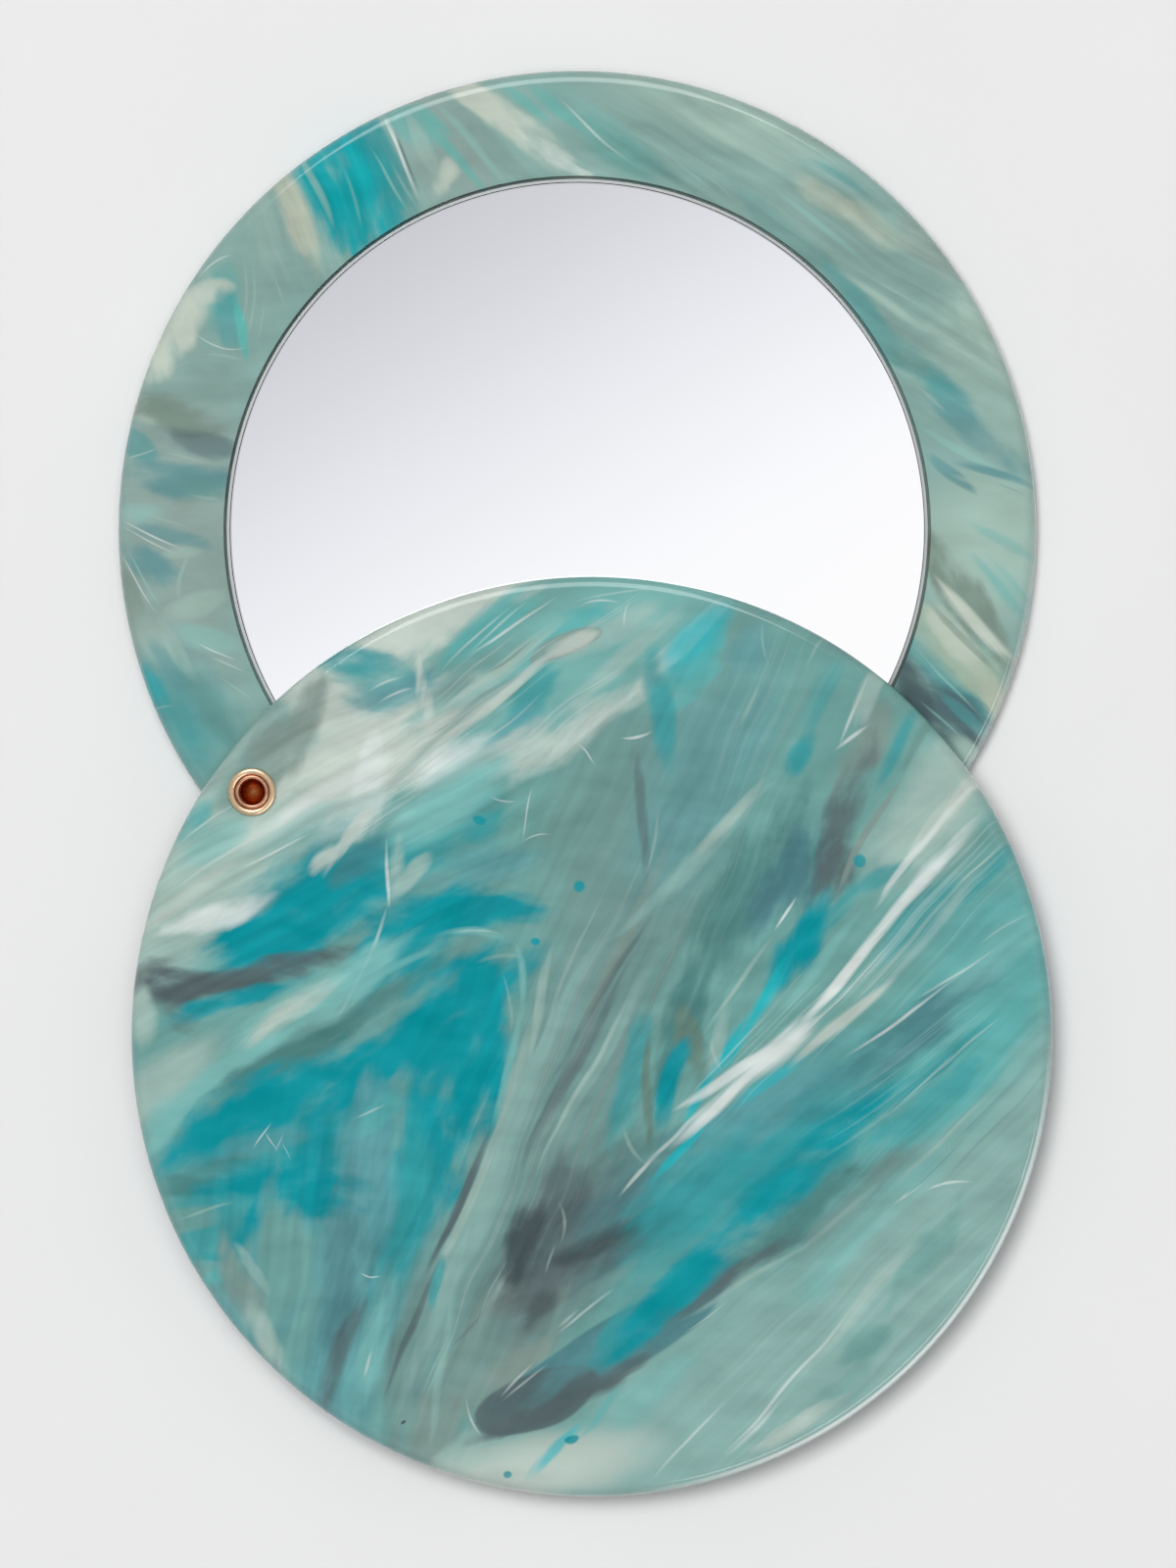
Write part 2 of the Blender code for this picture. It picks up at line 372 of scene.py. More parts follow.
mirror_disc, mirror_middle, mirror_back, mirror_face = tumbled_disc("mirror_disc_body", "mirror_disc")
disc_radius = mirror_disc.dimensions.x / 2
pick(mirror_disc, "FACE", top_cap)
bpy.ops.mesh.inset(thickness=disc_radius - RIM_ROUNDING - FACE_MARGIN - RECESS_RADIUS)
bpy.ops.mesh.extrude_region_move(TRANSFORM_OT_translate={"value": (0, 0, -RECESS_DEPTH)})
pick(mirror_disc, "EDGE", lambda edge: level(edge) and all(
    abs(corner.co.xy.length - RECESS_RADIUS) < FACE_MARGIN and corner.co.z > mirror_face - FACE_MARGIN
    for corner in edge.verts))
bpy.ops.mesh.bevel(offset=RECESS_ARRIS, segments=2, profile=0.5)
bpy.ops.object.mode_set(mode="OBJECT")
cut_round(mirror_disc, "pivot_hole", pivot, PIVOT_HOLE_RADIUS, mirror_back - OVERRUN, mirror_face + OVERRUN)
cut_round(mirror_disc, "head_seat", pivot, HEAD_SEAT_RADIUS, mirror_back - OVERRUN,
          mirror_back + HEAD_SEAT_DEPTH)
smooth(mirror_disc, SHARP_CORNER)

# The sheet's marbling: colours stirred through the acetate in long strokes. A stroke is a soft oval with a
# direction of its own, whose edge a grain breaks up, either with fibres along the stroke or with clouds. For
# each touch: its grain, the softness of its edge, how far the grain moves that edge, and how full it is.
TOUCHES = {
    "wash": ("cloud", 1.9, 1.4, 3.5),
    "mass": ("cloud", 1.3, 2.7, 4.1),
    "streak": ("fibre", 1.0, 1.9, 2.8),
    "line": ("fibre", 0.8, 0.6, 0.85),
    "edge": ("fibre", 0.12, 0.12, 1.1),
    "dot": ("cloud", 0.5, 0.3, 1.3),
    "hair": ("hair", 0.8, 4.5, 4.0),
}
# For each grain: its marks in a millimetre along and across its direction, and the detail of its noise.
GRAINS = {"fibre": (0.05, 0.9, 3.0), "hair": (0.035, 2.4, 3.0), "cloud": (0.16, 0.42, 4.0)}
GRAIN_SPREAD = (3.7, 1.9)
SLANT = 0.35
WANDER = 1.6 * MM
WANDER_SCALE = 0.09 / MM
# After each layer of strokes the paint so far moves the spot a little, in millimetres. This stirs the sheet,
# and it lets the nodes be worked through layer by layer, because there are too many to be held at once.
LAYER = 40
PUSH = 0.3
CLOUDING = 0.35
EVENNESS = 0.965
# Heights under the face between which the tumbled rim's polish sets in.
POLISH = (-0.02 * MM, -0.002 * MM)
# A painted highlight: the rims are painted pale at the lower right. This stands in for light from the upper
# left that the translucent sheet would carry to that edge; the shader itself is not translucent.
PAINTED_EDGE_LIGHT = seen(240, 250, 247)
PAINTED_EDGE_LIGHT_SIDE = (0.743, -0.669, 0)
PAINTED_EDGE_LIGHT_SPREAD = (0.70, 0.97)
PAINTED_EDGE_LIGHT_TOP = (-0.36 * MM, -0.14 * MM)
PAINTED_EDGE_LIGHT_FOOT = (-0.80 * MM, -0.44 * MM)
COMB_REACH = (0.4, 1.5)
# The middle range of a noise, over which it brings in its whole effect.
NOISE_REACH = (0.2, 0.8)
ACETATE_ROUGHNESS = (0.07, 0.15)
STROKE_INPUTS = {
    "Spot": "Vector", "Along": "Vector", "Across": "Vector", "Bend": "Float", "Grain": "Float",
    "Strength": "Float", "Paint": "Color", "Colour": "Color",
}


def stroke_group(name, bent):
    """A node group that lays one stroke of a colour over the paint."""
    tree = bpy.data.node_groups.new(name, "ShaderNodeTree")
    for label, kind in STROKE_INPUTS.items():
        tree.interface.new_socket(label, in_out="INPUT", socket_type="NodeSocket" + kind)
    tree.interface.new_socket("Paint", in_out="OUTPUT", socket_type="NodeSocketColor")
    inputs = tree.nodes.new("NodeGroupInput").outputs
    given = {label: Wire(tree, inputs[label]) for label in STROKE_INPUTS}
    spot = given["Spot"]
    run = spot.vector("DOT_PRODUCT", spot, given["Along"], output=1)
    rise = spot.vector("DOT_PRODUCT", spot, given["Across"], output=1)
    if bent:
        rise = rise.math("MULTIPLY_ADD", run * run, given["Bend"], rise)
    edge = run.math("MULTIPLY_ADD", run, run, given["Grain"])
    edge = rise.math("MULTIPLY_ADD", rise, rise, edge)
    paint = given["Paint"].painted(given["Colour"], edge.faded(-1.0, 1.0, given["Strength"], 0.0))
    tree.links.new(paint.socket, tree.nodes.new("NodeGroupOutput").inputs["Paint"])
    return tree


straight_stroke = stroke_group("straight_stroke", bent=False)
bent_stroke = stroke_group("bent_stroke", bent=True)


def oval_axes(x, y, length, width, turn):
    """Two vectors for a turned oval, whose dot products with a spot are 1 at its end and at its side."""
    turn = math.radians(turn)
    cosine = math.cos(turn)
    sine = math.sin(turn)
    along = (cosine, sine, -x * cosine - y * sine)
    across = (-sine, cosine, x * sine - y * cosine)
    return [tuple(part * 2 / size for part in axis) for axis, size in ((along, length), (across, width))]


def stirred(name, middle, face, palette, base, turns, strokes, combs, edge_light_share):
    """The marbled acetate of one disc, from its strokes and combs in millimetres from the disc's middle, with
    a painted pale highlight on the lower right rim.
    """
    material, shader, place = new_material(name, Specular_IOR_Level=0.1, Coat_Roughness=0.06)
    spot = place.vector("SUBTRACT", place, (middle.x, middle.y, face))
    depth = spot.node("ShaderNodeSeparateXYZ", {}, {0: spot}, output=2)
    side = spot.vector("DOT_PRODUCT", spot, PAINTED_EDGE_LIGHT_SIDE, output=1) / disc_radius
    # Painted highlight: a pale edge in the base colour, on the side of the rim that faces the lower right.
    painted_edge_light = side.faded(*PAINTED_EDGE_LIGHT_SPREAD, 0.0, edge_light_share) * depth.faded(*PAINTED_EDGE_LIGHT_TOP, 1.0, 0.0)
    painted_edge_light = painted_edge_light * depth.faded(*PAINTED_EDGE_LIGHT_FOOT)
    shift = depth.node("ShaderNodeCombineXYZ", {}, {0: depth * SLANT, 1: depth * -SLANT, 2: depth * -1})
    spot = spot.vector("ADD", spot, shift)
    drift = spot.node("ShaderNodeTexNoise", {"noise_dimensions": "2D"},
                      {"Vector": spot, "Scale": WANDER_SCALE, "Detail": 1.0}, output=1)
    drift = drift.vector("MULTIPLY_ADD", drift, (WANDER, WANDER, 0), (-WANDER / 2, -WANDER / 2, 0))
    spot = spot.vector("ADD", spot, drift)
    sheet = spot.node("ShaderNodeMapping", {}, {"Vector": spot, "Scale": (1 / MM, 1 / MM, 1)})
    grains = {}
    for grain, (along, across, detail) in GRAINS.items():
        for turn in turns[grain]:
            marks = sheet.node("ShaderNodeMapping", {"vector_type": "TEXTURE"}, {
                "Vector": sheet, "Location": (turn * GRAIN_SPREAD[0], turn * GRAIN_SPREAD[1], 0),
                "Rotation": (0, 0, math.radians(turn)), "Scale": (1 / along, 1 / across, 1)})
            grains[grain, turn] = marks.node("ShaderNodeTexNoise", {"noise_dimensions": "2D"}, {
                "Vector": marks, "Scale": 1.0, "Detail": detail})
    spot = sheet.vector("ADD", sheet, (0, 0, 1))
    paint = spot.node("ShaderNodeRGB", {}, {})
    paint.socket.default_value = palette[base]
    edges = {}
    for count, (touch, colour, x, y, length, width, turn, strength, *bend) in enumerate(strokes):
        if count % LAYER == LAYER - 1:
            spot = paint.vector("MULTIPLY_ADD", paint, (PUSH, -PUSH, 0), spot)
        grain, soft, reach, fill = TOUCHES[touch]
        near = min(turns[grain], key=lambda grain_turn: abs((grain_turn - turn + 90) % 180 - 90))
        if (touch, near) not in edges:
            base_grain = grains[grain, near]
            edges[touch, near] = base_grain.math("MULTIPLY_ADD", base_grain, 2 * reach / soft, -fill / soft)
        grown = math.sqrt(soft)
        along, across = oval_axes(x, y, length * grown, width * grown, turn)
        values = {"Spot": spot, "Along": along, "Across": across, "Grain": edges[touch, near],
                  "Strength": strength, "Paint": paint, "Colour": palette[colour]}
        if bend:
            values["Bend"] = -2 * bend[0] * grown / width
        paint = spot.node("ShaderNodeGroup", {"node_tree": bent_stroke if bend else straight_stroke}, values)
    for turn, x, y, length, width, strength in combs:
        along, across = oval_axes(x, y, length, width, turn)
        run = spot.vector("DOT_PRODUCT", spot, along, output=1)
        rise = spot.vector("DOT_PRODUCT", spot, across, output=1)
        near = (run * run + rise * rise).faded(*COMB_REACH, 2 * strength, 0.0)
        gain = near.math("MULTIPLY_ADD", grains["fibre", turn] - 0.5, near, 1.0)
        paint = paint.node("ShaderNodeVectorMath", {"operation": "SCALE"}, {0: paint, "Scale": gain})
    cloud = grains["cloud", turns["cloud"][0]]
    paint = paint.node("ShaderNodeVectorMath", {"operation": "SCALE"}, {
        0: paint, "Scale": cloud * CLOUDING + (EVENNESS - CLOUDING / 2)})
    # The painted pale edge of light goes over the marbling.
    connect(shader, "Base Color", paint.painted(PAINTED_EDGE_LIGHT, painted_edge_light))
    connect(shader, "Roughness", cloud.faded(*NOISE_REACH, *ACETATE_ROUGHNESS))
    connect(shader, "Coat Weight", depth.faded(*POLISH, 1.0, 0.0))
    return material


# The colours of the mirror disc's marbling, as the eye sees them.
MIRROR_DISC_COLOURS = {
    "teal": seen(8, 156, 163), "soft_teal": seen(76, 152, 153), "turquoise": seen(88, 178, 170),
    "aqua": seen(96, 172, 166), "haze": seen(140, 186, 178), "sage": seen(134, 170, 163),
    "pale_sage": seen(146, 176, 166), "pale": seen(160, 187, 176), "cream": seen(192, 203, 190),
    "peach": seen(184, 193, 175), "white": seen(214, 223, 218), "grey_sage": seen(128, 158, 151),
    "dark_green": seen(98, 145, 141), "slate": seen(78, 104, 109), "dark_slate": seen(66, 84, 88),
    "blue_slate": seen(98, 147, 150), "olive": seen(122, 142, 131), "taupe": seen(138, 156, 148),
    "stone": seen(140, 162, 156), "moss": seen(160, 181, 162),
}
# Its strokes: touch, colour, the middle's x and y, length, width, direction in degrees, strength, and how far
# it bends, where it does.
MIRROR_DISC_STROKES = [
    # ground
    ("wash", "grey_sage", 19, 25, 34, 7, -38, .7),
    ("wash", "pale", 12, 34.6, 14, 3.4, -18, .6),
    ("wash", "pale", 34.4, 12, 12, 5, -72, .5),
    ("wash", "pale", 33.6, -1.4, 9, 8, 0, .95),
    ("wash", "grey_sage", -27, 20, 12, 4, 60, .6),
    ("wash", "stone", -33, -3, 22, 8, 86, .9),
    ("wash", "soft_teal", -33, -15.4, 8, 6, -70, .8),
    ("wash", "stone", -11, 31, 9, 5, -60, .8),
    # the top left: the teal block and the streaks beside it
    ("mass", "teal", -18.6, 30, 9, 5.0, -66, 1),
    ("mass", "teal", -19.4, 27.2, 6.4, 5.0, -66, .9),
    ("mass", "teal", -20.8, 26.4, 6, 2.6, -64, .9),
    ("mass", "teal", -21.4, 31.4, 5, 3.0, 35, .9),
    ("mass", "soft_teal", -15.6, 28.6, 7, 2.2, -64, .9),
    ("mass", "dark_green", -15.6, 27.6, 4, 1.6, -50, .6),
    ("mass", "peach", -23.2, 25.6, 7, 1.7, -66, .95),
    ("mass", "pale_sage", -26, 25.4, 8, 2.0, -66, .7),
    ("mass", "teal", -16.6, 27.2, 7, 3.0, -62, .8),
    ("streak", "haze", -22, 28.4, 6, .6, -66, .7),
    ("line", "haze", -18.9, 27.6, 6, .4, -68, .5),
    ("line", "haze", -15.8, 28.8, 7, .35, -56, .8),
    ("line", "haze", -14.6, 28.4, 5, .35, -58, .7),
    ("line", "white", -14.9, 30.8, 8, .4, -67, 1),
    ("line", "white", -15.6, 32.8, 3, .7, -68, .9),
    ("line", "dark_slate", -14.4, 30.4, 7.4, .3, -67, .9),
    ("mass", "aqua", -13.6, 33, 4, 2.0, -40, .6),
    ("mass", "cream", -11, 29, 3, 1.4, 60, .8),
    ("mass", "pale", -12.6, 31, 5, 1.0, -62, .5),
    ("streak", "turquoise", -10.4, 31, 7, .8, -50, .6),
    ("streak", "turquoise", -11.6, 33.6, 4, .8, -45, .6),
    ("streak", "haze", -8.6, 31.6, 8, .7, -48, .7),
    ("mass", "grey_sage", -6.6, 31.4, 7, 1.4, -36, .8),
    # the cream band and the sage top
    ("mass", "cream", -5.4, 33.6, 10, 2.1, -34, .95),
    ("mass", "white", -2.0, 31.4, 5, 1.2, -32, .6),
    ("mass", "cream", -7.4, 35, 4, 1.6, -30, .7),
    ("line", "dark_green", .6, 30.3, 3, .5, -30, .8),
    ("streak", "turquoise", -2.0, 35.2, 5, .8, -36, .5),
    ("streak", "turquoise", -4.4, 35.6, 4, .7, -36, .5),
    ("mass", "aqua", 2, 33.0, 9, 2.4, -40, .5),
    ("line", "white", 1.8, 32.8, 9.4, .35, -43, .8),
    ("mass", "dark_green", 6, 30.6, 6, 1.2, -36, .5),
    ("line", "haze", 9.4, 29.2, 5, .4, -40, .7),
    ("line", "haze", 11.4, 28.4, 4, .3, -42, .5),
    # the upper right: streaks running down to the right
    ("streak", "pale", 11.2, 33, 8, .8, -33, .8),
    ("mass", "pale", 14.8, 31.6, 8, 1.2, -34, .6),
    ("streak", "pale", 17, 32, 12, 1.0, -34, .7),
    ("mass", "pale", 13.4, 34.6, 6, 1.6, -26, .6),
    ("streak", "soft_teal", 21.4, 28.9, 5, 1.0, -32, .6),
    ("mass", "peach", 20.6, 27, 5, 1.4, -34, .5),
    ("mass", "peach", 24.6, 25.0, 5, 1.8, -30, .5),
    ("mass", "taupe", 29, 23, 6, 2.4, -46, .6),
    ("streak", "haze", 19.6, 25.4, 9, .5, -36, .7),
    ("streak", "pale", 25.6, 18.8, 9, .7, -34, .9),
    ("line", "pale", 26.4, 19.6, 6, .3, -30, .7),
    ("streak", "pale", 32, 14.6, 8, .6, -38, .7),
    ("mass", "pale", 34, 15.4, 7, 1.6, -66, .7),
    ("mass", "dark_green", 18, 24, 12, 1.4, -42, .5),
    ("mass", "soft_teal", 24.6, 16.8, 8, 1.6, -52, .6),
    ("mass", "dark_green", 28.4, 13.4, 6, 1.8, -42, .8),
    ("mass", "soft_teal", 30.8, 10.6, 5, 2.0, -46, .7),
    ("mass", "blue_slate", 33.6, 7.4, 7, 1.8, -42, .7),
    ("line", "pale", 29.4, 10.4, 4, .5, -46, .7),
    ("streak", "haze", 32.2, 6, 7, .6, -30, .8),
    ("streak", "blue_slate", 35, 4.2, 6, .7, -18, .9),
    ("streak", "blue_slate", 31, 4.4, 4, .8, -40, .8),
    ("streak", "pale", 34.8, 2.8, 7, .6, -22, .8),
    ("line", "dark_green", 36, 3, 4, .3, -20, .6),
    # the lower right
    ("streak", "aqua", 35.4, -1.4, 6, 1.0, -24, .4),
    ("streak", "aqua", 35.4, -5, 7, 1.6, -46, .6),
    ("mass", "olive", 32.4, -6.4, 12, 2.2, -54, .95),
    ("mass", "moss", 32.0, -11.4, 10, 3.6, -49, .95),
    ("mass", "cream", 31.0, -8.6, 5, 1.6, -48, .7),
    ("streak", "cream", 33.2, -8.2, 10, 1.1, -42, .95),
    ("streak", "olive", 32.2, -9.2, 8, .5, -43, .6),
    ("mass", "olive", 36.0, -10.9, 2.6, .8, -30, .7),
    ("mass", "peach", 34.4, -13.2, 4, 1.6, -56, .7),
    ("mass", "soft_teal", 30.4, -12.2, 9, 1.7, -46, .95),
    ("mass", "slate", 29.8, -14.8, 10, 4.0, -46, 1),
    ("mass", "dark_slate", 28.2, -13.0, 4, 1.6, -60, .7),
    ("mass", "soft_teal", 32.6, -15.6, 5, .8, -44, .5),
    ("line", "haze", 31.0, -12.6, 9, .3, -45, .95),
    ("line", "haze", 30.4, -15.8, 6, .4, -46, .7),
    ("mass", "pale", 32.2, -18.4, 3, 1.4, -50, .9),
    # the upper left: curved wisps, cream and teal
    ("mass", "aqua", -29.6, 19.6, 4, 2.6, 60, .7),
    ("mass", "cream", -33, 16.6, 7, 2.8, 62, .95),
    ("mass", "cream", -31, 19.2, 3.4, 1.4, 20, .8),
    ("mass", "soft_teal", -29.4, 16.8, 4.6, 2.6, 76, .7),
    ("mass", "turquoise", -27.8, 16.6, 3.8, .7, -80, .8),
    ("line", "white", -30.2, 21.8, 4, .25, 34, .6, -.4),
    ("line", "pale", -27.4, 19.4, 8, .4, 86, .5, .4),
    ("line", "pale", -26.7, 18.6, 8, .35, 84, .6, .4),
    ("line", "pale", -25.9, 17, 5, .3, 80, .4, .3),
    ("line", "pale", -24.3, 19.6, 3.6, .3, -70, .6),
    ("line", "white", -29.6, 14.6, 5, .2, -10, .7, .7),
    ("line", "pale", -29.2, 14.0, 5, .3, -4, .6, -.4),
    ("line", "pale", -34, 12.8, 4, .4, 10, .6, .3),
    ("mass", "grey_sage", -30.4, 11.6, 7, 2.6, 10, .7),
    # the left side
    ("mass", "peach", -36, 9.8, 3, 1.4, -40, .6),
    ("mass", "olive", -33, 9.4, 5, 2.0, -14, .85),
    ("mass", "slate", -31, 7, 4, 1.9, -20, .6),
    ("mass", "soft_teal", -36.4, 6.8, 3, 1.6, -50, .6),
    ("line", "white", -35.8, 5.8, 3.4, .25, 18, .5, .3),
    ("mass", "blue_slate", -32.6, 3.8, 7, 2.6, -12, .9),
    ("mass", "dark_green", -31, 2.8, 3, 1.6, -20, .7),
    ("line", "pale", -32.4, 5.8, 4.4, .4, -14, .6, -.3),
    ("line", "pale", -30.6, 2.0, 3, .5, -10, .6, .2),
    ("mass", "haze", -36, .9, 4, 1.4, 0, .8),
    ("mass", "taupe", -33.6, 1.0, 4, 1.0, 20, .5),
    ("mass", "blue_slate", -33.4, -.8, 5, .9, -14, .7),
    ("line", "white", -35, -.8, 6.4, .22, -23, .8),
    ("line", "white", -35, -1.3, 6.4, .18, -25, .7),
    ("line", "pale", -34, .4, 5, .3, -16, .5),
    ("mass", "blue_slate", -35, -3.2, 5, 1.7, -30, .9),
    ("mass", "olive", -36.8, -5.8, 4.4, 1.8, -68, .7),
    ("line", "white", -35.9, -4.8, 7, .2, -56, .9),
    ("line", "haze", -35.4, -4.4, 7, .3, -57, .9),
    ("line", "pale", -32.4, -4.2, 4.6, .5, 80, .5, -.4),
    ("mass", "pale", -32.6, -2.2, 2.4, .8, 0, .6),
    ("mass", "pale", -31.4, -6.6, 4, 1.4, 20, .7),
    ("mass", "haze", -30.4, -9, 5, 1.6, -16, .8),
    ("mass", "pale", -35, -9, 4, 1.6, -60, .4),
    ("mass", "blue_slate", -33.8, -11.2, 4, .9, -60, .6),
    ("mass", "pale", -32.6, -10.4, 5, 1.0, -58, .5),
    ("line", "white", -29.4, -10.2, 4, .2, -26, .6),
    ("line", "white", -28.4, -11.4, 4, .2, -30, .5),
    ("line", "pale", -28, -13.4, 4, .3, -36, .5),
    ("mass", "teal", -35, -13.4, 4, 1.6, -66, .8),
    ("mass", "dark_green", -30.4, -14.6, 6, 2.4, -60, .7),
    ("mass", "soft_teal", -33.2, -15.8, 4, 2.2, -60, .8),
    ("line", "pale", -34.4, -14.6, 2.4, .3, 4, .6),
]
# The directions of its grains, and the combs that bring its fibres out over an area: direction, the middle's
# x and y, length, width and strength.
MIRROR_DISC_TURNS = {"fibre": (-66, -48, -32, -12, 60, 88), "hair": (-32, -48, -64), "cloud": (0, -36, -70)}
MIRROR_DISC_COMBS = [(-32, 20, 24, 44, 22, 0.3), (-66, -20, 28, 26, 14, 0.3)]
mirror_disc.data.materials.append(stirred(
    "mirror_disc_acetate", mirror_middle, mirror_face, MIRROR_DISC_COLOURS, "sage", MIRROR_DISC_TURNS,
    MIRROR_DISC_STROKES, MIRROR_DISC_COMBS, edge_light_share=0.3))
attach(mirror_disc, "mirror_half")
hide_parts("mirror_disc")

# The adhesive pad and the mirror's silvering, both hidden in the recess: a white foam with fine cells, and
# dark grey backing paint with a slight orange peel. Their CAD solids have the right shape.
FOAM_CELLS = 4 / MM
FOAM_SHADES = (0.80, 0.55)
PAINT_PEEL = 1.5 / MM
PAINT_SHADES = (0.03, 0.05)


def dressed(node, material):
    """Gives this material to a CAD node that stays."""
    materials = frame["nodes"][node].data.materials
    materials.clear()
    materials.append(material)


material, shader, place = new_material("adhesive_foam", Roughness=0.8)
cells = place.node("ShaderNodeTexVoronoi", {}, {"Vector": place, "Scale": FOAM_CELLS})
connect(shader, "Base Color", cells.faded(0.0, 1.0, *FOAM_SHADES))
dressed("adhesive_disc", material)
material, shader, place = new_material("backing_paint", Roughness=0.5)
peel = place.node("ShaderNodeTexNoise", {}, {"Vector": place, "Scale": PAINT_PEEL, "Detail": 3.0})
connect(shader, "Base Color", peel.faded(*NOISE_REACH, *PAINT_SHADES))
dressed("mirror_silvering", material)

# The mirror: a round of silvered glass, glued into the recess. Its edge is ground off all round to a matt
# arris, with a narrow polished step inside it. Just inside the arris a dark line is painted on the silver, as
# a painted reflection of the dark gap round the glass.
ARRIS = 0.25 * MM
POLISHED_WIDTH = 0.16 * MM
POLISHED_DROP = 0.012 * MM
REFLECTED_GAP_OFFSET = 0.07
REFLECTED_GAP_EDGE = 0.02
GROUND_EDGE = 0.01
REFLECTED_GAP_SHADE = (0.02, 0.02, 0.025, 1)
GROUND_SHADE = (0.66, 0.68, 0.68, 1)
SILVER_STOPS = [(0.3, (0.92, 0.93, 0.94, 1)), (0.7, (0.94, 0.94, 0.95, 1))]
SILVER_HAZE = 0.06 / MM
GLASS_ROUGHNESS = (0.012, 0.45)
GLASS_CORNER = math.radians(3.0)
low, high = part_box("mirror_glass")
middle = (low + high) / 2
glass_radius = (high.x - low.x) / 2
middle.z -= POLISHED_DROP / 2
glass = begin(bpy.ops.mesh.primitive_cylinder_add, "mirror_glass_round", vertices=DISC_SIDES,
              radius=glass_radius, depth=high.z - low.z - POLISHED_DROP, location=middle)
pick(glass, "EDGE", level)
bpy.ops.mesh.bevel(offset=ARRIS, segments=1)
pick(glass, "FACE", top_cap)
bpy.ops.mesh.inset(thickness=POLISHED_WIDTH, depth=POLISHED_DROP)
bpy.ops.object.mode_set(mode="OBJECT")
smooth(glass, GLASS_CORNER)
material, shader, place = new_material("silvered_glass", Specular_IOR_Level=0.2)
out = place.vector("LENGTH", place.vector("MULTIPLY", place, (1 / MM, 1 / MM, 0)), output=1)
arris_start = (glass_radius - ARRIS) / MM
ground = out.faded(arris_start, arris_start + GROUND_EDGE)
# Painted reflection: a dark line just inside the arris, where the silver would show the gap round the glass.
painted_gap_reflection = out.faded(arris_start - REFLECTED_GAP_OFFSET, arris_start - REFLECTED_GAP_OFFSET + REFLECTED_GAP_EDGE)
haze = place.node("ShaderNodeTexNoise", {}, {"Vector": place, "Scale": SILVER_HAZE, "Detail": 2.0})
silver = haze.node("ShaderNodeValToRGB", {"stops": SILVER_STOPS}, {0: haze})
silver = silver.painted(REFLECTED_GAP_SHADE, painted_gap_reflection)
connect(shader, "Base Color", silver.painted(GROUND_SHADE, ground))
connect(shader, "Metallic", ground.faded(0.0, 1.0, 1.0, 0.0))
connect(shader, "Roughness", ground.faded(0.0, 1.0, *GLASS_ROUGHNESS))
glass.data.materials.append(material)
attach(glass, "mirror_half")
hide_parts("mirror_glass")

# The spacer: a thin nylon washer on the eyelet that keeps the discs' faces apart. It shows only from the
# side, so its CAD solid stays, with the cloudy white of natural nylon.
NYLON_CLOUDS = 0.9 / MM
NYLON_SHADES = (0.60, 0.70)
material, shader, place = new_material("nylon", Roughness=0.45)
cloud = place.node("ShaderNodeTexNoise", {}, {"Vector": place, "Scale": NYLON_CLOUDS, "Detail": 2.0})
connect(shader, "Base Color", cloud.faded(*NOISE_REACH, *NYLON_SHADES))
dressed("pivot_spacer", material)

# The cover: a second disc of the same acetate sheet, cut and tumbled like the first, with only the eyelet's
# hole through it. It turns on the eyelet, over the mirror.
cover, cover_middle, cover_back, cover_face = tumbled_disc("cover_disc_body", "cover_disc")
bpy.ops.object.mode_set(mode="OBJECT")
cut_round(cover, "pivot_hole", pivot, PIVOT_HOLE_RADIUS, cover_back - OVERRUN, cover_face + OVERRUN)
smooth(cover, SHARP_CORNER)
COVER_COLOURS = {
    "teal": seen(2, 144, 155), "soft_teal": seen(48, 150, 155), "turquoise": seen(32, 178, 187),
    "aqua": seen(88, 172, 171), "haze": seen(122, 182, 178), "sage": seen(108, 158, 153),
    "pale_sage": seen(136, 174, 168), "pale": seen(162, 188, 179), "cream": seen(192, 204, 195),
    "white": seen(214, 223, 220), "grey_sage": seen(112, 146, 142), "dark_green": seen(76, 127, 125),
    "slate": seen(86, 101, 104), "dark_slate": seen(64, 75, 78), "blue_slate": seen(76, 124, 130),
    "mist": seen(92, 154, 159), "olive": seen(98, 126, 115), "taupe": seen(128, 148, 141),
}
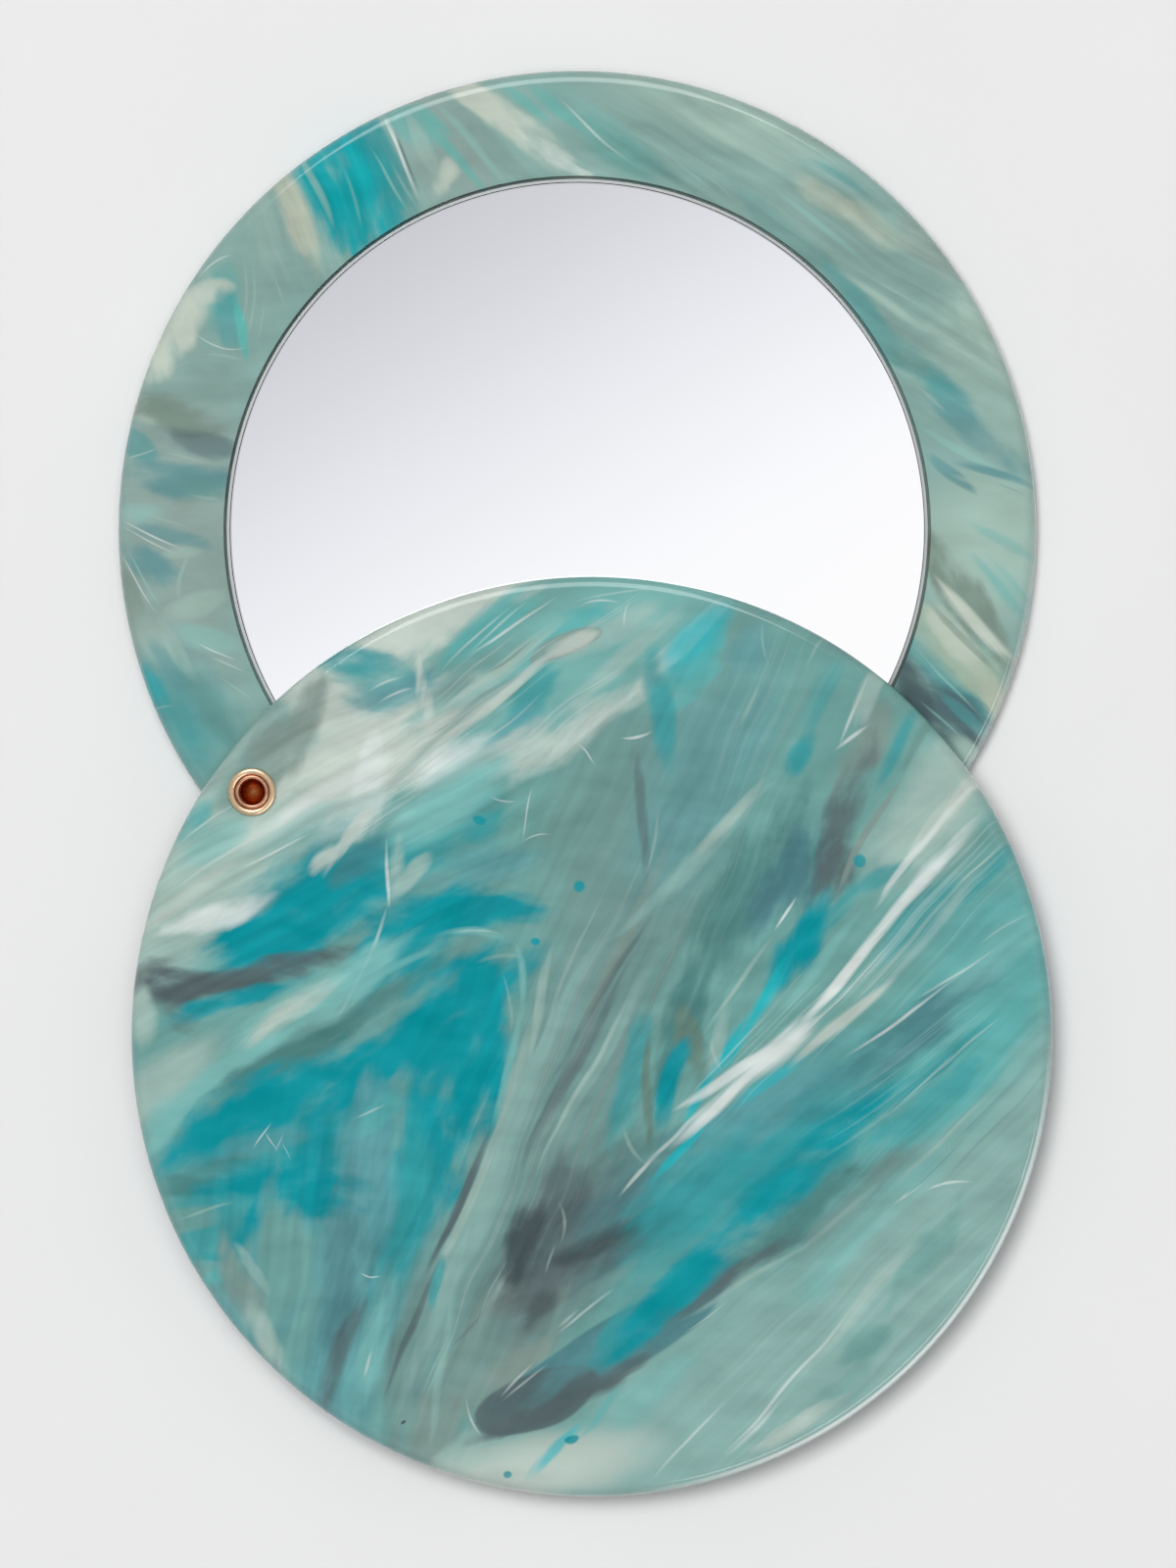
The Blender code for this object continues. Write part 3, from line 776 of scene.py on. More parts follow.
COVER_STROKES = [
    # ground
    ("wash", "pale_sage", 20, -27, 56, 17, 41, .95),
    ("wash", "pale_sage", 33, -12, 18, 8, 66, .7),
    ("wash", "aqua", 31, 2, 30, 8, 52, .6),
    ("wash", "grey_sage", -3, -6, 52, 8, 68, .8),
    ("wash", "grey_sage", 1, 16, 16, 7, 84, .6),
    ("wash", "mist", 9, 21, 14, 6, 60, .5),
    ("wash", "mist", -22, -20, 24, 12, 82, .8),
    ("wash", "soft_teal", -30.6, -14.6, 9, 4, 30, .8),
    ("wash", "pale", -27, 22, 22, 9, 45, .75),
    ("wash", "pale", -33, 11, 18, 6, 40, .85),
    ("wash", "haze", -2, 31, 26, 6, 34, .7),
    ("wash", "cream", -5, -35.6, 13, 3.6, 10, .8),
    ("wash", "pale", 28.8, 19.5, 11, 5, 56, .9),
    ("hair", "white", 20, -27, 40, 12, 43, .07),
    ("wash", "slate", -1.6, -17.4, 13, 6, 50, .85),
    ("wash", "taupe", -7, -25, 9, 4, 50, .8),
    ("wash", "soft_teal", -26, -9.6, 13, 5, 12, .8),
    ("wash", "soft_teal", 12, -11.4, 18, 6, 42, .7),
    ("hair", "blue_slate", 26, -8, 30, 9, 42, .25),
    ("hair", "pale", -4, -8, 44, 9, 67, .5),
    ("hair", "slate", -1, -4, 40, 8, 66, .4),
    # the upper left: pale smears round the eyelet
    ("mass", "grey_sage", -26.6, 23.2, 10, 3.6, 50, .7),
    ("mass", "cream", -13.5, 33.9, 13, 3.2, 22, .95),
    ("mass", "cream", -22, 27.4, 7, 4, -38, .8),
    ("mass", "cream", -18.6, 22.6, 17, 6.6, 33, .95),
    ("mass", "taupe", -25.0, 24.8, 7.4, 3.2, 56, .9),
    ("mass", "soft_teal", -18.6, 30.1, 6, 2.2, -8, .9),
    ("edge", "soft_teal", -21.8, 31.2, 3.2, 1.0, 36, .9),
    ("mass", "mist", -16.8, 28.7, 5, 3.4, 10, .8),
    ("line", "white", -17.6, 29.2, 3.6, .3, 24, .6, -.2),
    ("line", "white", -16.6, 28.4, 3.4, .3, 24, .6, -.2),
    ("mass", "white", -18.3, 20.6, 7.4, 2.6, 72, .7),
    ("mass", "white", -11.6, 22.6, 5.6, 2.6, 45, .7),
    ("streak", "white", -23.4, 19.2, 12, 1.5, 32, .7),
    ("streak", "cream", -14.2, 28.6, 5.6, 1.1, -80, .8),
    ("mass", "grey_sage", -11.8, 28.2, 3.6, 2.0, 30, .8),
    ("streak", "grey_sage", -9, 27.4, 9, 1.1, 34, .7),
    ("streak", "grey_sage", -15, 22.6, 7, 1.0, 40, .5),
    ("streak", "aqua", -8.4, 33.4, 9, 2.4, 40, .8),
    ("mass", "grey_sage", -8.2, 30.8, 6, 1.4, 20, .45),
    ("streak", "aqua", -2.4, 33.2, 8, 1.4, 38, .8),
    ("mass", "pale", 1.8, 33.6, 6, 1.8, 30, .6),
    ("mass", "aqua", 0, 34.9, 4, .9, 8, .7),
    ("edge", "taupe", -2.0, 32.4, 6.4, 1.7, 27, .8, -.2),
    ("mass", "cream", -1.2, 32.7, 3.2, 1.0, 25, .8),
    ("mass", "soft_teal", -4.8, 28.0, 4.6, 2.4, 36, .75),
    ("mass", "mist", -6, 25.4, 5.6, 2.0, 34, .7),
    ("streak", "pale", -7.4, 30, 12, .9, 36, .9, .3),
    ("streak", "cream", -8.4, 27.2, 14, .8, 38, .8),
    ("mass", "cream", -8.6, 22.0, 14, 2.2, 35, .7),
    ("mass", "cream", -.6, 25.2, 12, 2.0, 36, .6),
    ("streak", "white", -.2, 25.5, 9, 1.4, 37, .45),
    ("streak", "cream", 6.4, 31.2, 11, 1.6, 46, .8),
    ("streak", "pale", 2.6, 31.2, 11, 1.6, 42, .6),
    ("line", "white", -6.2, 33.5, 11, .35, 36, .9, .4),
    ("line", "white", -9.4, 32.6, 9, .3, 40, .7),
    ("line", "white", -7.6, 33.4, 8, .3, 42, .6),
    ("line", "white", .6, 36.1, 4, .25, 8, .8, -.5),
    ("line", "white", 2.7, 35.0, 2.6, .2, 84, .6, -.2),
    ("line", "white", 1.7, 36.7, 8, .25, 10, .5, -.5),
    ("line", "olive", -6.6, 30.9, 6, .3, 35, .7, .2),
    ("line", "olive", -5.4, 28.9, 9, .3, 37, .6),
    ("hair", "white", -9, 26, 26, 8, 37, .35),
    ("hair", "dark_green", -9, 27, 22, 8, 37, .22),
    # the left side: two teal fields, pale fingers and the slate band
    ("mass", "aqua", -33.0, 17.2, 3.2, 1.6, 60, .8),
    ("mass", "aqua", -22.4, 17.2, 10, 2.2, 25, .4),
    ("mass", "teal", -24.2, 9.8, 15, 6.4, 36, 1),
    ("mass", "teal", -20.4, 11.6, 8, 4.4, 8, .95),
    ("mass", "blue_slate", -18.6, 14.2, 4.4, 2.4, 40, .6),
    ("mass", "soft_teal", -11.8, 16.4, 9, 4.2, 34, .9),
    ("wash", "haze", -11.6, 19.2, 7, 3.0, 38, .95),
    ("mass", "mist", -9.4, 13.4, 8, 2.4, 10, .7),
    ("wash", "haze", -12.6, 18.6, 5, 2.4, 36, .6),
    ("mass", "teal", -10.4, 9.9, 11, 2.6, 4, .95),
    ("mass", "teal", -14.8, 8.0, 9, 4.4, 30, 1),
    ("streak", "cream", -34.6, 10.4, 10, 1.2, 34, .6),
    ("mass", "white", -30.4, 10, 6.4, 1.5, 20, .85),
    ("mass", "cream", -19.4, 18.6, 6, 2.0, 48, .35),
    ("streak", "cream", -19.8, 16.2, 6.4, .9, 54, .7),
    ("mass", "cream", -21.9, 14.2, 2.6, 1.0, 40, .8),
    ("mass", "pale", -15.9, 13.6, 4.6, 1.1, 84, .85),
    ("mass", "pale", -14.6, 12.8, 3.6, 1.1, 52, .75),
    ("line", "white", -16.5, 13, 6.4, .4, -87, .8),
    ("line", "white", -18.6, 5.6, 11, .45, 62, .8, .4),
    ("line", "white", -20.6, .4, 3, .25, 42, .8),
    ("line", "white", -21, .2, 2.4, .25, 50, .7),
    ("mass", "haze", -31.0, 16.0, 5, 2.4, 38, .6),
    ("line", "white", -26, 14.8, 8, .3, 25, .95),
    ("line", "white", -32, 17.2, 7, .35, 38, .7),
    ("line", "white", -30.6, 14.2, 9, .4, 33, .5),
    ("mass", "slate", -35, 4.2, 8, 2.4, -2, .95),
    ("mass", "slate", -28.5, 4.6, 13, 1.8, 14, .9),
    ("mass", "slate", -35, 2.2, 5, 2.0, -40, .6),
    ("mass", "taupe", -37.4, 4.8, 2, 1.2, 0, .5),
    ("wash", "pale", -37.2, 1.4, 3.0, 1.6, 92, .8),
    ("mass", "teal", -30.8, 2.0, 8, 1.3, 14, .9),
    ("wash", "pale", -35, -4, 7, 3.0, 30, .8),
    ("mass", "haze", -29.4, -2.6, 16, 2.6, 40, .9),
    ("mass", "haze", -21.8, 3.4, 12, 2.6, 32, .9),
    ("streak", "pale", -24.6, 2.0, 9, 1.5, 38, .9),
    ("streak", "cream", -26, .8, 6, .8, 40, .5),
    ("mass", "dark_green", -24.4, -1.9, 12, 1.9, 29, .95),
    ("mass", "dark_green", -17, 2.8, 9, 1.4, 26, .6),
    # the folded arch
    ("mass", "teal", -11.4, 2.4, 11, 5.0, 28, 1),
    ("mass", "teal", -16.6, -2.2, 15, 5.0, 26, 1),
    ("mass", "teal", -27, -6.0, 16, 3.6, 24, 1),
    ("mass", "teal", -9.8, -2.4, 11, 4.6, 80, 1),
    ("mass", "teal", -12.4, -8.0, 13, 5.0, 70, .95),
    ("mass", "soft_teal", -15.6, -15.6, 12, 3.6, 80, .9),
    ("mass", "blue_slate", -18.4, -16.8, 6, 2.6, 82, .6),
    ("mass", "teal", -22.8, -9.6, 9, 3.0, 84, .85),
    ("mass", "mist", -18.1, -7.6, 7.4, 3.6, 68, .9),
    ("mass", "mist", -18.6, -12.6, 8, 3.6, 84, .7),
    ("mass", "aqua", -17.2, -6.4, 4, 1.6, 40, .5),
    ("mass", "mist", -27.4, -9.0, 6, 1.8, 16, .6),
    ("mass", "dark_green", -32, -11.3, 7, 1.8, 14, .8),
    ("mass", "teal", -25.4, -12.8, 10, 3.6, -8, .95),
    ("mass", "sage", -34, -15.2, 5, 1.7, 10, .9),
    ("line", "pale", -32, -14.4, 6, .4, 14, .7, -.2),
    ("mass", "teal", -28.5, -16.3, 5, 1.2, 58, .9),
    ("mass", "soft_teal", -31.2, -18.3, 4, .7, -2, .9),
    ("mass", "aqua", -30.8, -19.8, 2.6, 1.1, 30, .8),
    ("streak", "haze", -34.6, -7.6, 6, 1.6, 48, .9),
    ("line", "haze", -15.8, 5.4, 9, .9, 27, .9, -.5),
    ("line", "haze", -9.2, 8.2, 6.4, .9, -4, .95, -.6),
    ("line", "haze", -5.4, 4.6, 7, .8, -86, .9, -.7),
    ("line", "haze", -6.8, -3.4, 12, .9, 77, .8, .4),
    ("line", "white", -9.0, 8.3, 5, .25, 0, .35, -.4),
    ("line", "pale", -7.4, 6.3, 4, .5, 8, .4, -.4),
    ("line", "pale", -6.6, 2.6, 6, .4, -84, .6, -.4),
    # the lower left columns
    ("mass", "sage", -25.6, -20.4, 11, 3.6, 88, .95),
    ("mass", "taupe", -28.6, -21.4, 7, 1.8, -68, .8),
    ("wash", "pale", -26.6, -25.2, 4, 1.2, -60, .8),
    ("streak", "pale", -28.2, -19.2, 4, .7, -62, .4),
    ("mass", "blue_slate", -20.6, -20, 12, 2.4, 84, .85),
    ("mass", "slate", -20.6, -26.6, 7, 1.3, 70, .7),
    ("mass", "sage", -23.8, -25.6, 8, 1.8, 76, .7),
    ("mass", "haze", -17.8, -25.4, 9, 1.6, 76, .7),
    ("mass", "sage", -17, -30.6, 6, 2.0, 78, .8),
    ("mass", "grey_sage", -14.4, -25, 13, 3.0, 76, .85),
    ("mass", "taupe", -13.4, -32.4, 5, 3.6, 60, .7),
    ("mass", "pale", -10.4, -34.6, 6, 2.6, 50, .5),
    ("line", "white", -18.3, -27.2, 2.6, .35, 72, .7),
    # bands through the middle
    ("streak", "pale", -6, -4, 16, 1.0, 74, .6),
    ("streak", "pale_sage", -9.4, -15, 28, 2.4, 68, .9),
    ("streak", "pale", -9.4, -12.6, 16, .6, 67, .6),
    ("streak", "slate", -10.6, -13.4, 10, .6, 66, .9),
    ("streak", "slate", -14.8, -24.6, 9, .5, 66, .7),
    ("mass", "soft_teal", -12.6, -20.8, 3.6, .7, 76, .7),
    ("streak", "pale_sage", -12.4, -28, 11, 1.0, 80, .9),
    ("streak", "slate", -1, -2.4, 14, 1.2, 62, .8),
    ("streak", "slate", 3.9, 17.4, 10, .9, -86, .6),
    ("streak", "slate", 1, 3, 14, .6, 60, .5),
    ("streak", "pale_sage", -2.8, .6, 18, 1.2, 62, .8),
    ("streak", "pale_sage", 1.6, -1, 16, 1.0, 62, .7),
    ("streak", "pale", -.6, -4.4, 12, .4, 62, .7),
    ("streak", "taupe", 2.6, 7.6, 14, 1.0, 66, .6),
    ("line", "slate", -10, -24.6, 5.6, .5, 42, .7),
    # the slate in the middle and the tongue
    ("mass", "slate", -3.4, -15.4, 8, 3.6, 66, .7),
    ("mass", "slate", 2.4, -17.6, 9, 3, 28, .7),
    ("mass", "slate", -4.8, -22.4, 8, 3, 54, .8),
    ("mass", "dark_slate", -5.4, -17.6, 5.4, 2.4, 74, .9),
    ("mass", "dark_slate", 1.2, -17.2, 6, 1.8, 30, .7),
    ("mass", "dark_slate", -4.2, -23.4, 4, 1.6, 60, .5),
    ("mass", "grey_sage", -8.2, -26.4, 6, 3.0, 50, .8),
    ("mass", "blue_slate", 3.6, -12.6, 9, 3.6, 40, .6),
    ("edge", "blue_slate", 1.2, -26.6, 23, 5.0, 31, .9),
    ("edge", "slate", -4.4, -30.4, 10.4, 4.6, 19, .85),
    ("mass", "slate", -3.4, -31.2, 10, 1.3, 20, .85),
    ("mass", "slate", 2.4, -28.4, 8, .9, 30, .7),
    ("mass", "taupe", -6.4, -27.4, 5, 1.6, 36, .8),
    ("mass", "mist", -.6, -26.8, 8, 1.8, 38, .5),
    ("mass", "soft_teal", 2, -25.2, 5, 2.0, 50, .8),
    ("mass", "grey_sage", -1.6, -22.8, 9, 1.2, 34, .7),
    # the teal diagonal
    ("mass", "mist", 12.6, -8.4, 15, 4.6, 40, .9),
    ("mass", "soft_teal", 8.4, -13, 12, 4.6, 40, .8),
    ("mass", "soft_teal", 18, -9.4, 19, 4.4, 43, .8),
    ("mass", "dark_green", 15, -17, 17, 2.4, 36, .9),
    ("mass", "slate", 11.6, -20.2, 9, 1.4, 34, .9),
    ("mass", "grey_sage", 23.4, -12.4, 12, 1.8, 40, .9),
    ("mass", "teal", 6.4, -22.2, 10, 2.0, 45, 1),
    ("mass", "teal", 10, -18.6, 9, 2.6, 44, .95),
    ("mass", "teal", 15.4, -12.8, 10, 2.6, 44, .9),
    ("mass", "teal", 21, -7.6, 7, 2.2, 38, .9),
    ("streak", "soft_teal", 27.6, -3.4, 12, 1.4, 36, .7),
    ("streak", "aqua", 31, -5.6, 10, 1.4, 42, .7),
    ("line", "pale", 12.6, -20.6, 12, .7, 33, .8, .2),
    ("line", "pale", 20, -15.6, 12, .7, 36, .6, .2),
    ("line", "pale", 29, -9, 12, .6, 44, .7),
    ("hair", "white", 10.6, -23.0, 7, 1.2, 33, .8),
    ("line", "white", -.6, -23.2, 7, .35, 36, .7),
    ("line", "white", -1.8, -23.6, 3, .4, 38, .5),
    ("line", "white", -5.4, -28.8, 5, .3, 42, .7),
    ("line", "white", -6, -28.6, 4, .3, 50, .6),
    ("line", "pale", -2.1, -15.6, 4.6, .4, -84, .7, -.6),
    ("line", "pale", -3.2, -18.8, 3, .35, 70, .6),
    ("line", "white", -9.6, -31.8, 3.4, .3, -64, .7, .3),
    # the right side: white streaks over teal
    ("mass", "aqua", 33, -1.4, 8, 3.0, 48, .6),
    ("mass", "blue_slate", 25.6, -1, 14, 2.8, 38, .75),
    ("mass", "blue_slate", 29.4, 2.8, 6, 1.4, 30, .6),
    ("mass", "haze", 33.4, 6.4, 8, 2.4, 44, .6),
    ("mass", "soft_teal", 27.2, -6.8, 8, 2.2, 40, .6),
    ("mass", "soft_teal", 27.4, 8.8, 6, 2.4, 46, .6),
    ("streak", "soft_teal", 33, 12.6, 7, 1.2, 50, .6),
    ("mass", "dark_green", 11.6, 9.4, 16, 3.6, 62, .8),
    ("mass", "dark_green", 7.8, 1, 9, 2.6, 72, .85),
    ("mass", "olive", 8.6, -1.2, 5, 1.8, -66, .85),
    ("mass", "blue_slate", 17.0, 12.6, 8, 3.8, 62, 1),
    ("mass", "soft_teal", 3.4, -4, 9, 1.8, 76, .7),
    ("streak", "olive", 4.8, -4.6, 7, .8, 92, .8),
    ("mass", "teal", 7, -3.6, 4.4, 1.3, 66, .9),
    ("mass", "teal", 6.6, -5.4, 3.6, 1.0, 74, .7),
    ("mass", "taupe", 22.6, 23.4, 7, 2.2, 66, .8),
    ("mass", "slate", 21, 17.4, 9, 2.2, 72, .85),
    ("mass", "slate", 20, 12.9, 3.6, 3.0, 60, .85),
    ("streak", "taupe", 23.2, 16, 8, .6, 62, .8),
    ("mass", "soft_teal", 24, 12, 4.6, 1.3, 22, .7),
    ("mass", "soft_teal", 17.4, 22.7, 3, 1.3, 62, .9),
    ("streak", "soft_teal", 25.4, 24.2, 7, 1.2, 70, .7),
    ("streak", "soft_teal", 18.8, 27, 7, 1.4, 66, .6),
    ("streak", "olive", 27.2, 24.6, 5, .8, 64, .4),
    ("mass", "teal", 17.2, 6.6, 5.4, 2.6, 62, 1),
    ("mass", "teal", 18.6, 9.2, 4, 1.2, 60, .6),
    ("streak", "soft_teal", 20.6, 9.6, 6, 1.2, 48, .7),
    ("streak", "turquoise", 14.6, 2.6, 7, 1.3, 56, .95),
    ("streak", "turquoise", 11.8, -1.4, 6, 1.6, 56, 1),
    ("streak", "turquoise", 9.4, -4.8, 6, 1.0, 56, .9),
    ("streak", "turquoise", 7.4, -9.8, 6, .7, 46, .9),
    ("streak", "turquoise", 14.6, -4.4, 6, .9, 36, .6),
    ("streak", "pale", 10.6, -.6, 6, 1.2, 78, .5),
    ("streak", "haze", 18.6, 4.8, 9, 1.0, 50, .8),
    ("streak", "pale", 23.4, 4.4, 10, 1.4, 44, .2),
    ("streak", "white", 15.6, -1.6, 9, 1.9, 40, 1),
    ("streak", "white", 10.8, -5.8, 8, 1.2, 38, .95),
    ("streak", "white", 12, -3.4, 8, .8, 30, .8),
    ("streak", "white", 20.6, 4, 10, .9, 50, 1),
    ("streak", "cream", 20.8, .8, 9, 1.0, 40, .8),
    ("streak", "white", 27, 11.2, 13, .9, 46, .95),
    ("streak", "cream", 29.8, 17.6, 10, 1.5, 54, .95),
    ("streak", "white", 28, 14.6, 13, .6, 50, .7),
    ("line", "white", 16.2, 9.4, 3.2, .35, 60, 1),
    ("line", "pale", 12.2, 3.6, 11, .5, 52, .8),
    ("line", "pale", 10.3, -1.8, 3.6, .5, -70, .8, .3),
    ("line", "white", 7, -8.6, 7, .5, 42, .8),
    ("line", "white", 4, -11.6, 5, .4, 44, .7),
    ("line", "pale", 3.4, -9.4, 4, .5, -60, .7, .5),
    ("line", "white", 26, 1.2, 12, .35, 36, .8),
    ("line", "white", 30.4, 4.6, 8, .3, 30, .5),
    ("line", "white", 34, 8, 6, .25, 34, .4),
    ("line", "white", 32.4, 13.2, 7, .25, 42, .4),
    ("line", "white", 31, -1.6, 8, .3, 38, .4),
    ("line", "white", 27, -4.8, 8, .3, 42, .35),
    ("hair", "white", 28, 8, 22, 7, 45, .2),
    ("hair", "white", 16, 0, 20, 4, 44, .3),
    ("hair", "white", 27, -3, 18, 5, 40, .1),
    # the upper right
    ("wash", "turquoise", 8.8, 31.8, 5, 2.2, 52, .8),
    ("mass", "aqua", 8.2, 29.2, 6, 2.2, 52, .8),
    ("wash", "soft_teal", 5.7, 26.2, 6, 1.3, -84, .8),
    ("mass", "mist", 13, 31, 4.4, 2.0, 60, .6),
    ("streak", "pale_sage", 8.8, 14.2, 15, 1.4, 44, .9),
    ("streak", "pale", 11.4, 17.2, 8, .9, 44, .8),
    ("line", "pale", 5, 15.4, 7, .4, 78, .7, .3),
    ("line", "white", 3.8, 23.9, 2.6, .3, 14, .7, .2),
    ("line", "white", 21.8, 26.4, 6.4, .4, 70, .9),
    ("line", "white", 21.6, 24, 3.4, .4, 38, .9),
    ("mass", "pale", 22.6, 27, 5, 1.2, 66, .7),
    ("line", "pale", 14.3, 31.6, 4, .25, -84, .5, .3),
    ("line", "pale", 13.2, 26.8, 4.4, .4, 70, .6),
    ("line", "pale", 18.6, 31.4, 4, .4, 60, .6),
    ("hair", "pale", 14, 26, 16, 7, 66, .12),
    ("hair", "pale", 12, 12, 20, 5, 62, .1),
    # the lower right
    ("mass", "haze", 20, -19.4, 8, 2.4, 50, .6),
    ("mass", "grey_sage", 20.6, -16.6, 8, 2.4, 40, .5),
    ("mass", "haze", 5, -30, 8, 2.2, 45, .6),
    ("mass", "sage", 22.6, -26.2, 4, 1.8, 30, .8),
    ("mass", "sage", 28.4, -18.4, 8, 1.8, 56, .7),
    ("mass", "sage", 21, -29.6, 5, 1.6, 40, .5),
    ("streak", "pale", 23.4, -22.4, 10, 1.4, 48, .8),
    ("streak", "cream", 17.6, -32.6, 9, 1.2, 30, .7),
    ("line", "white", 8.6, -34, 11, .4, 46, .8),
    ("line", "white", 16.4, -29.8, 17, .4, 48, .9),
    ("line", "pale", 20.4, -26.0, 14, .8, 47, .8),
    ("line", "white", 14, -33, 8, .5, 47, .7),
    ("line", "white", 30, -12.6, 4, .3, 12, .7, -.4),
    ("line", "white", 26.6, -13.8, 4, .3, 38, .6),
    ("streak", "turquoise", -2, -34.8, 6, .9, 54, .7),
    ("streak", "aqua", 1.4, -31.6, 5, .8, 54, .6),
    # dots and ticks
    ("dot", "teal", -.6, 11.6, .9, .9, 0, .9),
    ("dot", "teal", -4.2, 7.1, .8, .6, 0, .9),
    ("dot", "teal", -9.2, 17.0, .9, .7, 0, .8),
    ("dot", "teal", 22.8, 13.3, 1.2, 1.2, 0, .8),
    ("dot", "teal", -.8, -34, 1.0, .8, 0, .9),
    ("dot", "teal", -5.8, -37.2, .7, .6, 0, .8),
    ("dot", "dark_slate", -15.4, -32.2, .5, .25, 30, .9),
    # fine scratches
    ("line", "white", -26.8, -8.6, 2.4, .14, 60, .8),
    ("line", "white", -26.1, -9.2, 2.2, .14, -62, .8),
    ("line", "white", -25.5, -9.4, 2.4, .14, 66, .8),
    ("line", "white", -25.0, -10.2, 2.2, .14, -70, .6),
    ("line", "white", -18, -20.5, 2.2, .2, -8, .8, .2),
    ("line", "white", -18, -7.0, 3.6, .3, 22, .6),
    ("line", "white", -5.0, 17.6, 5, .2, 76, .8),
    ("line", "white", -4.4, 15.9, 3, .2, 14, .7, -.3),
    ("line", "white", -7, 18.6, 3, .2, -6, .7, .2),
    ("line", "white", .2, 22.4, 2.4, .2, -66, .7),
]
COVER_TURNS = {"fibre": (-30, 10, 28, 42, 64, 82), "hair": (36, 46, 68), "cloud": (0, 34, 74)}
COVER_COMBS = [
    (42, 22, -8, 60, 46, 0.18),
    (64, -2, -2, 76, 28, 0.22),
    (28, -24, 14, 44, 30, 0.3),
    (82, -22, -20, 30, 24, 0.25),
]
cover.data.materials.append(stirred(
    "cover_acetate", cover_middle, cover_face, COVER_COLOURS, "sage", COVER_TURNS, COVER_STROKES, COVER_COMBS,
    edge_light_share=0.95))
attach(cover, "cover")
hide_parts("cover_disc")

# The eyelet: a copper-plated tube with a head at the back that closes its bore in a point. Its front end is
# rolled over outwards when it is set, and holds the washer down. Inside the bore the copper is painted a
# deeper red, as painted shade in the hole.
EYELET_WALL = 0.15 * MM
BORE_RADIUS = 1.05 * MM
BORE_POINT = 0.6 * MM
HEAD_RADIUS = 2.0 * MM
HEAD_THICKNESS = 0.15 * MM
HEAD_FILLET = 0.105 * MM
LIP_INSIDE = 0.025 * MM
BORE_SHADE_FADE = (1.08 * MM, 1.06 * MM)
GILT_FADE = (1.40 * MM, 1.55 * MM)
TURN_SIDES = 96
ARC_STEPS = 10
METAL_EDGE = 0.03 * MM
METAL_CORNER = math.radians(50)
METAL_SHADING = math.radians(60)
COPPER_STOPS = [(0.3, seen(184, 134, 106)), (0.7, seen(208, 162, 132))]
BORE_SHADE_COPPER = seen(190, 126, 82)
GILT = seen(226, 200, 166)
GILT_SHARE = 0.8
COPPER_SPOTS = 1.4 / MM
COPPER_ROUGHNESS = (0.24, 0.30)


def arc(centre_radius, centre_height, radius, first, last):
    """Rings along a round bend of a turned profile, as pairs of radius and height."""
    rings = []
    for step in range(ARC_STEPS + 1):
        angle = math.radians(first + (last - first) * step / ARC_STEPS)
        rings.append((centre_radius + radius * math.cos(angle), centre_height + radius * math.sin(angle)))
    return rings


def turned(name, rings):
    """Metal turned round the pivot: a circle extruded from ring to ring, open for editing."""
    radius, height = rings[0]
    piece = begin(bpy.ops.mesh.primitive_circle_add, name, vertices=TURN_SIDES, radius=radius,
                  location=(pivot.x, pivot.y, height))
    bpy.ops.mesh.select_mode(type="EDGE")
    bpy.ops.mesh.select_all(action="SELECT")
    for next_radius, next_height in rings[1:]:
        bpy.ops.mesh.extrude_edges_move(TRANSFORM_OT_translate={"value": (0, 0, next_height - height)})
        grown = next_radius / radius
        bpy.ops.transform.resize(value=(grown, grown, 1), center_override=(pivot.x, pivot.y, next_height))
        radius, height = next_radius, next_height
    bpy.ops.mesh.select_all(action="SELECT")
    bpy.ops.mesh.normals_make_consistent(inside=False)
    return piece


def eased(piece):
    """Takes the turned piece's corners off and shades it smooth."""
    changed(piece, "edge", "BEVEL", width=METAL_EDGE, segments=3, limit_method="ANGLE",
            angle_limit=METAL_CORNER)
    smooth(piece, METAL_SHADING)


low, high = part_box("pivot_eyelet")
lip_outside = LIP_INSIDE + EYELET_WALL
lip_middle = BORE_RADIUS + lip_outside
lip_height = high.z - lip_outside
barrel_radius = BORE_RADIUS + EYELET_WALL
head_top = low.z + HEAD_THICKNESS
rings = [(BORE_RADIUS, head_top + BORE_POINT)]
rings += arc(lip_middle, lip_height, lip_outside, 180, 0)
rings += arc(lip_middle, lip_height, LIP_INSIDE, 0, 180)
rings += arc(barrel_radius + HEAD_FILLET, head_top + HEAD_FILLET, HEAD_FILLET, 180, 270)
rings += [(HEAD_RADIUS, head_top), (HEAD_RADIUS, low.z)]
eyelet = turned("pivot_eyelet_tube", rings)
bpy.ops.mesh.select_all(action="SELECT")
bpy.ops.mesh.fill_holes(sides=0)
bpy.ops.mesh.select_all(action="SELECT")
bpy.ops.mesh.normals_make_consistent(inside=False)
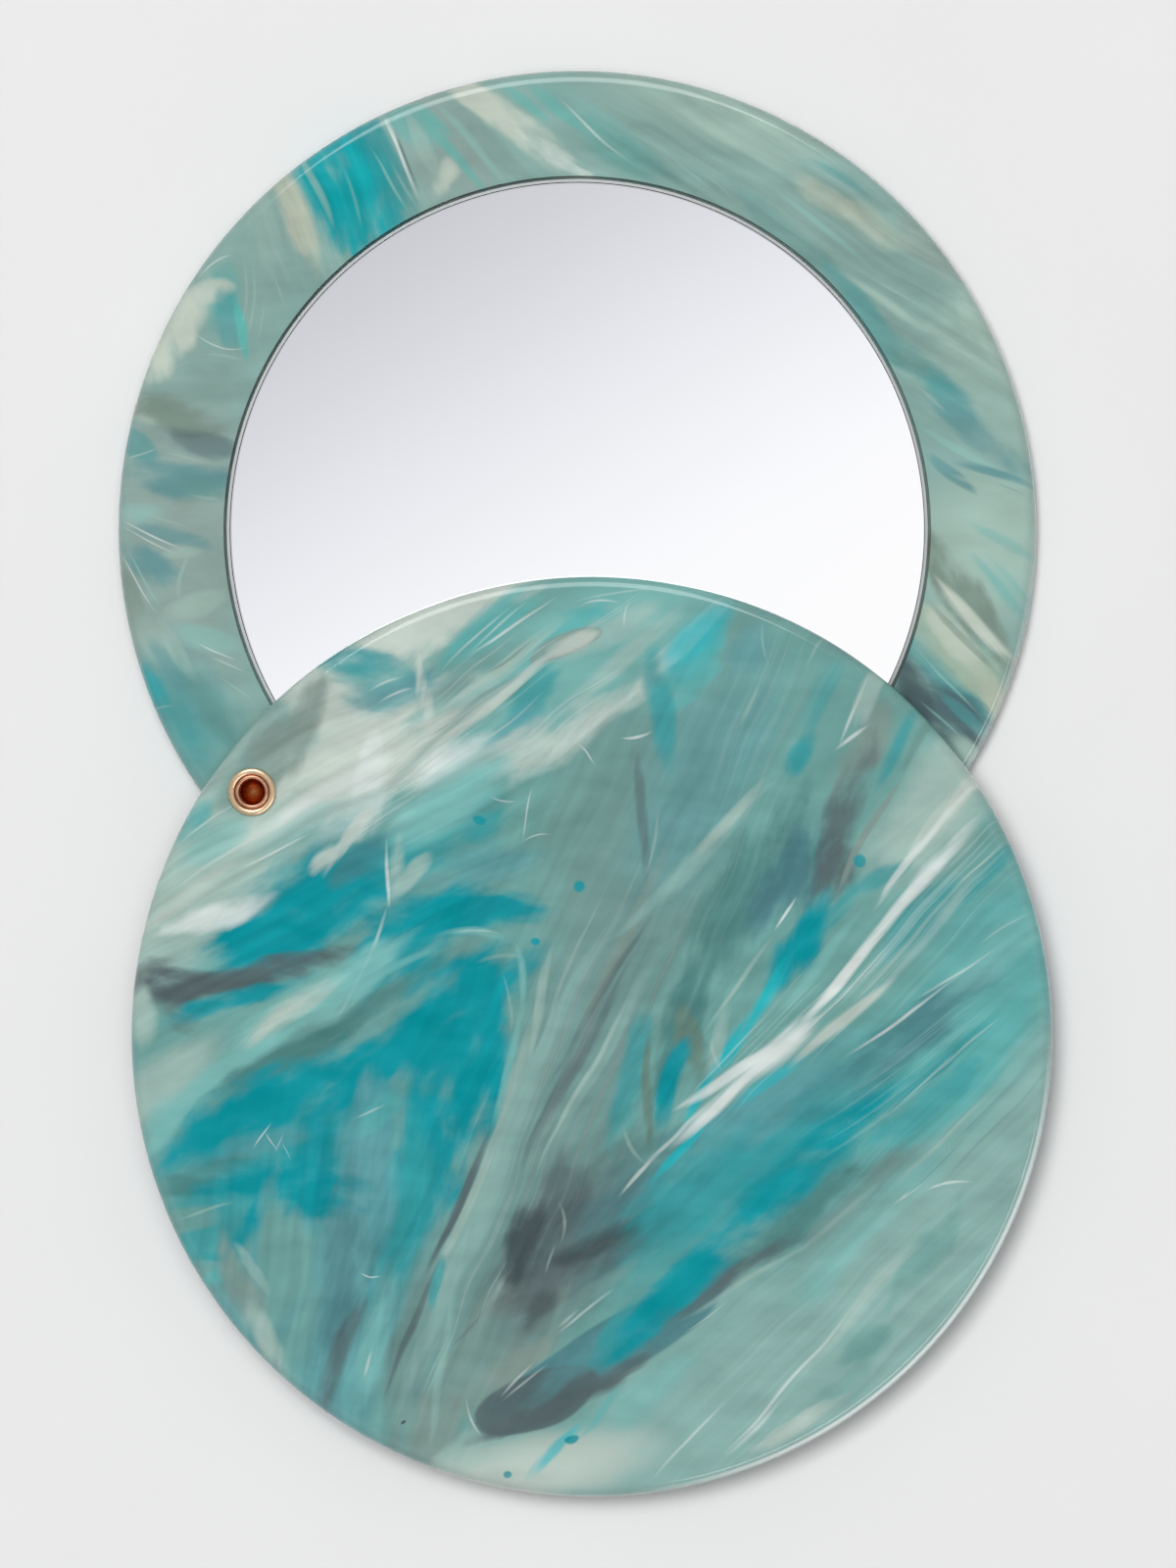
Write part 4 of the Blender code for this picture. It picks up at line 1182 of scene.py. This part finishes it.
pick(eyelet, "FACE", top_cap)
bpy.ops.mesh.poke(offset=-BORE_POINT)
bpy.ops.object.mode_set(mode="OBJECT")
eased(eyelet)
material, shader, place = new_material("rose_copper", Metallic=1.0)
spots = place.node("ShaderNodeTexNoise", {}, {"Vector": place, "Scale": COPPER_SPOTS, "Detail": 2.0})
copper = spots.node("ShaderNodeValToRGB", {"stops": COPPER_STOPS}, {0: spots})
from_pivot = place.vector("SUBTRACT", place, pivot)
from_axis = from_pivot.vector("MULTIPLY", from_pivot, (1, 1, 0))
from_axis = from_axis.vector("LENGTH", from_axis, output=1)
inside = from_axis.faded(*BORE_SHADE_FADE)
copper = copper.painted(GILT, from_axis.faded(*GILT_FADE, 0.0, GILT_SHARE))
# Painted shade: the bore's copper is a deeper red than the outside.
connect(shader, "Base Color", copper.painted(BORE_SHADE_COPPER, inside))
connect(shader, "Roughness", spots.faded(0.3, 0.8, *COPPER_ROUGHNESS))
eyelet.data.materials.append(material)
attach(eyelet, "mirror_half")
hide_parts("pivot_eyelet")

# The washer under the lip: a ring pressed from thin plated sheet and dished, so that only its rim bears on
# the cover. The eyelet's lip holds it down. It has the eyelet's metal, which is paler out here.
WASHER_METAL = 0.15 * MM
SEAT_RADIUS = 1.25 * MM
ROLL_INNER = 1.45 * MM
ROLL_MARGIN = 0.004 * MM
low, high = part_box("eyelet_washer")
sheet_height = low.z + WASHER_METAL / 2
roll_height = high.z - low.z - WASHER_METAL - ROLL_MARGIN
roll_radius = ((high.x - low.x - WASHER_METAL) / 2 - ROLL_INNER) / 2
rings = [(SEAT_RADIUS, sheet_height)]
for ring_radius, ring_height in arc(ROLL_INNER + roll_radius, 0.0, roll_radius, 180, 0):
    rings.append((ring_radius, sheet_height + ring_height * roll_height / roll_radius))
washer = turned("eyelet_washer_ring", rings)
bpy.ops.object.mode_set(mode="OBJECT")
changed(washer, "wall", "SOLIDIFY", thickness=WASHER_METAL, offset=0.0, use_even_offset=True)
eased(washer)
washer.data.materials.append(material)
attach(washer, "mirror_half")
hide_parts("eyelet_washer")
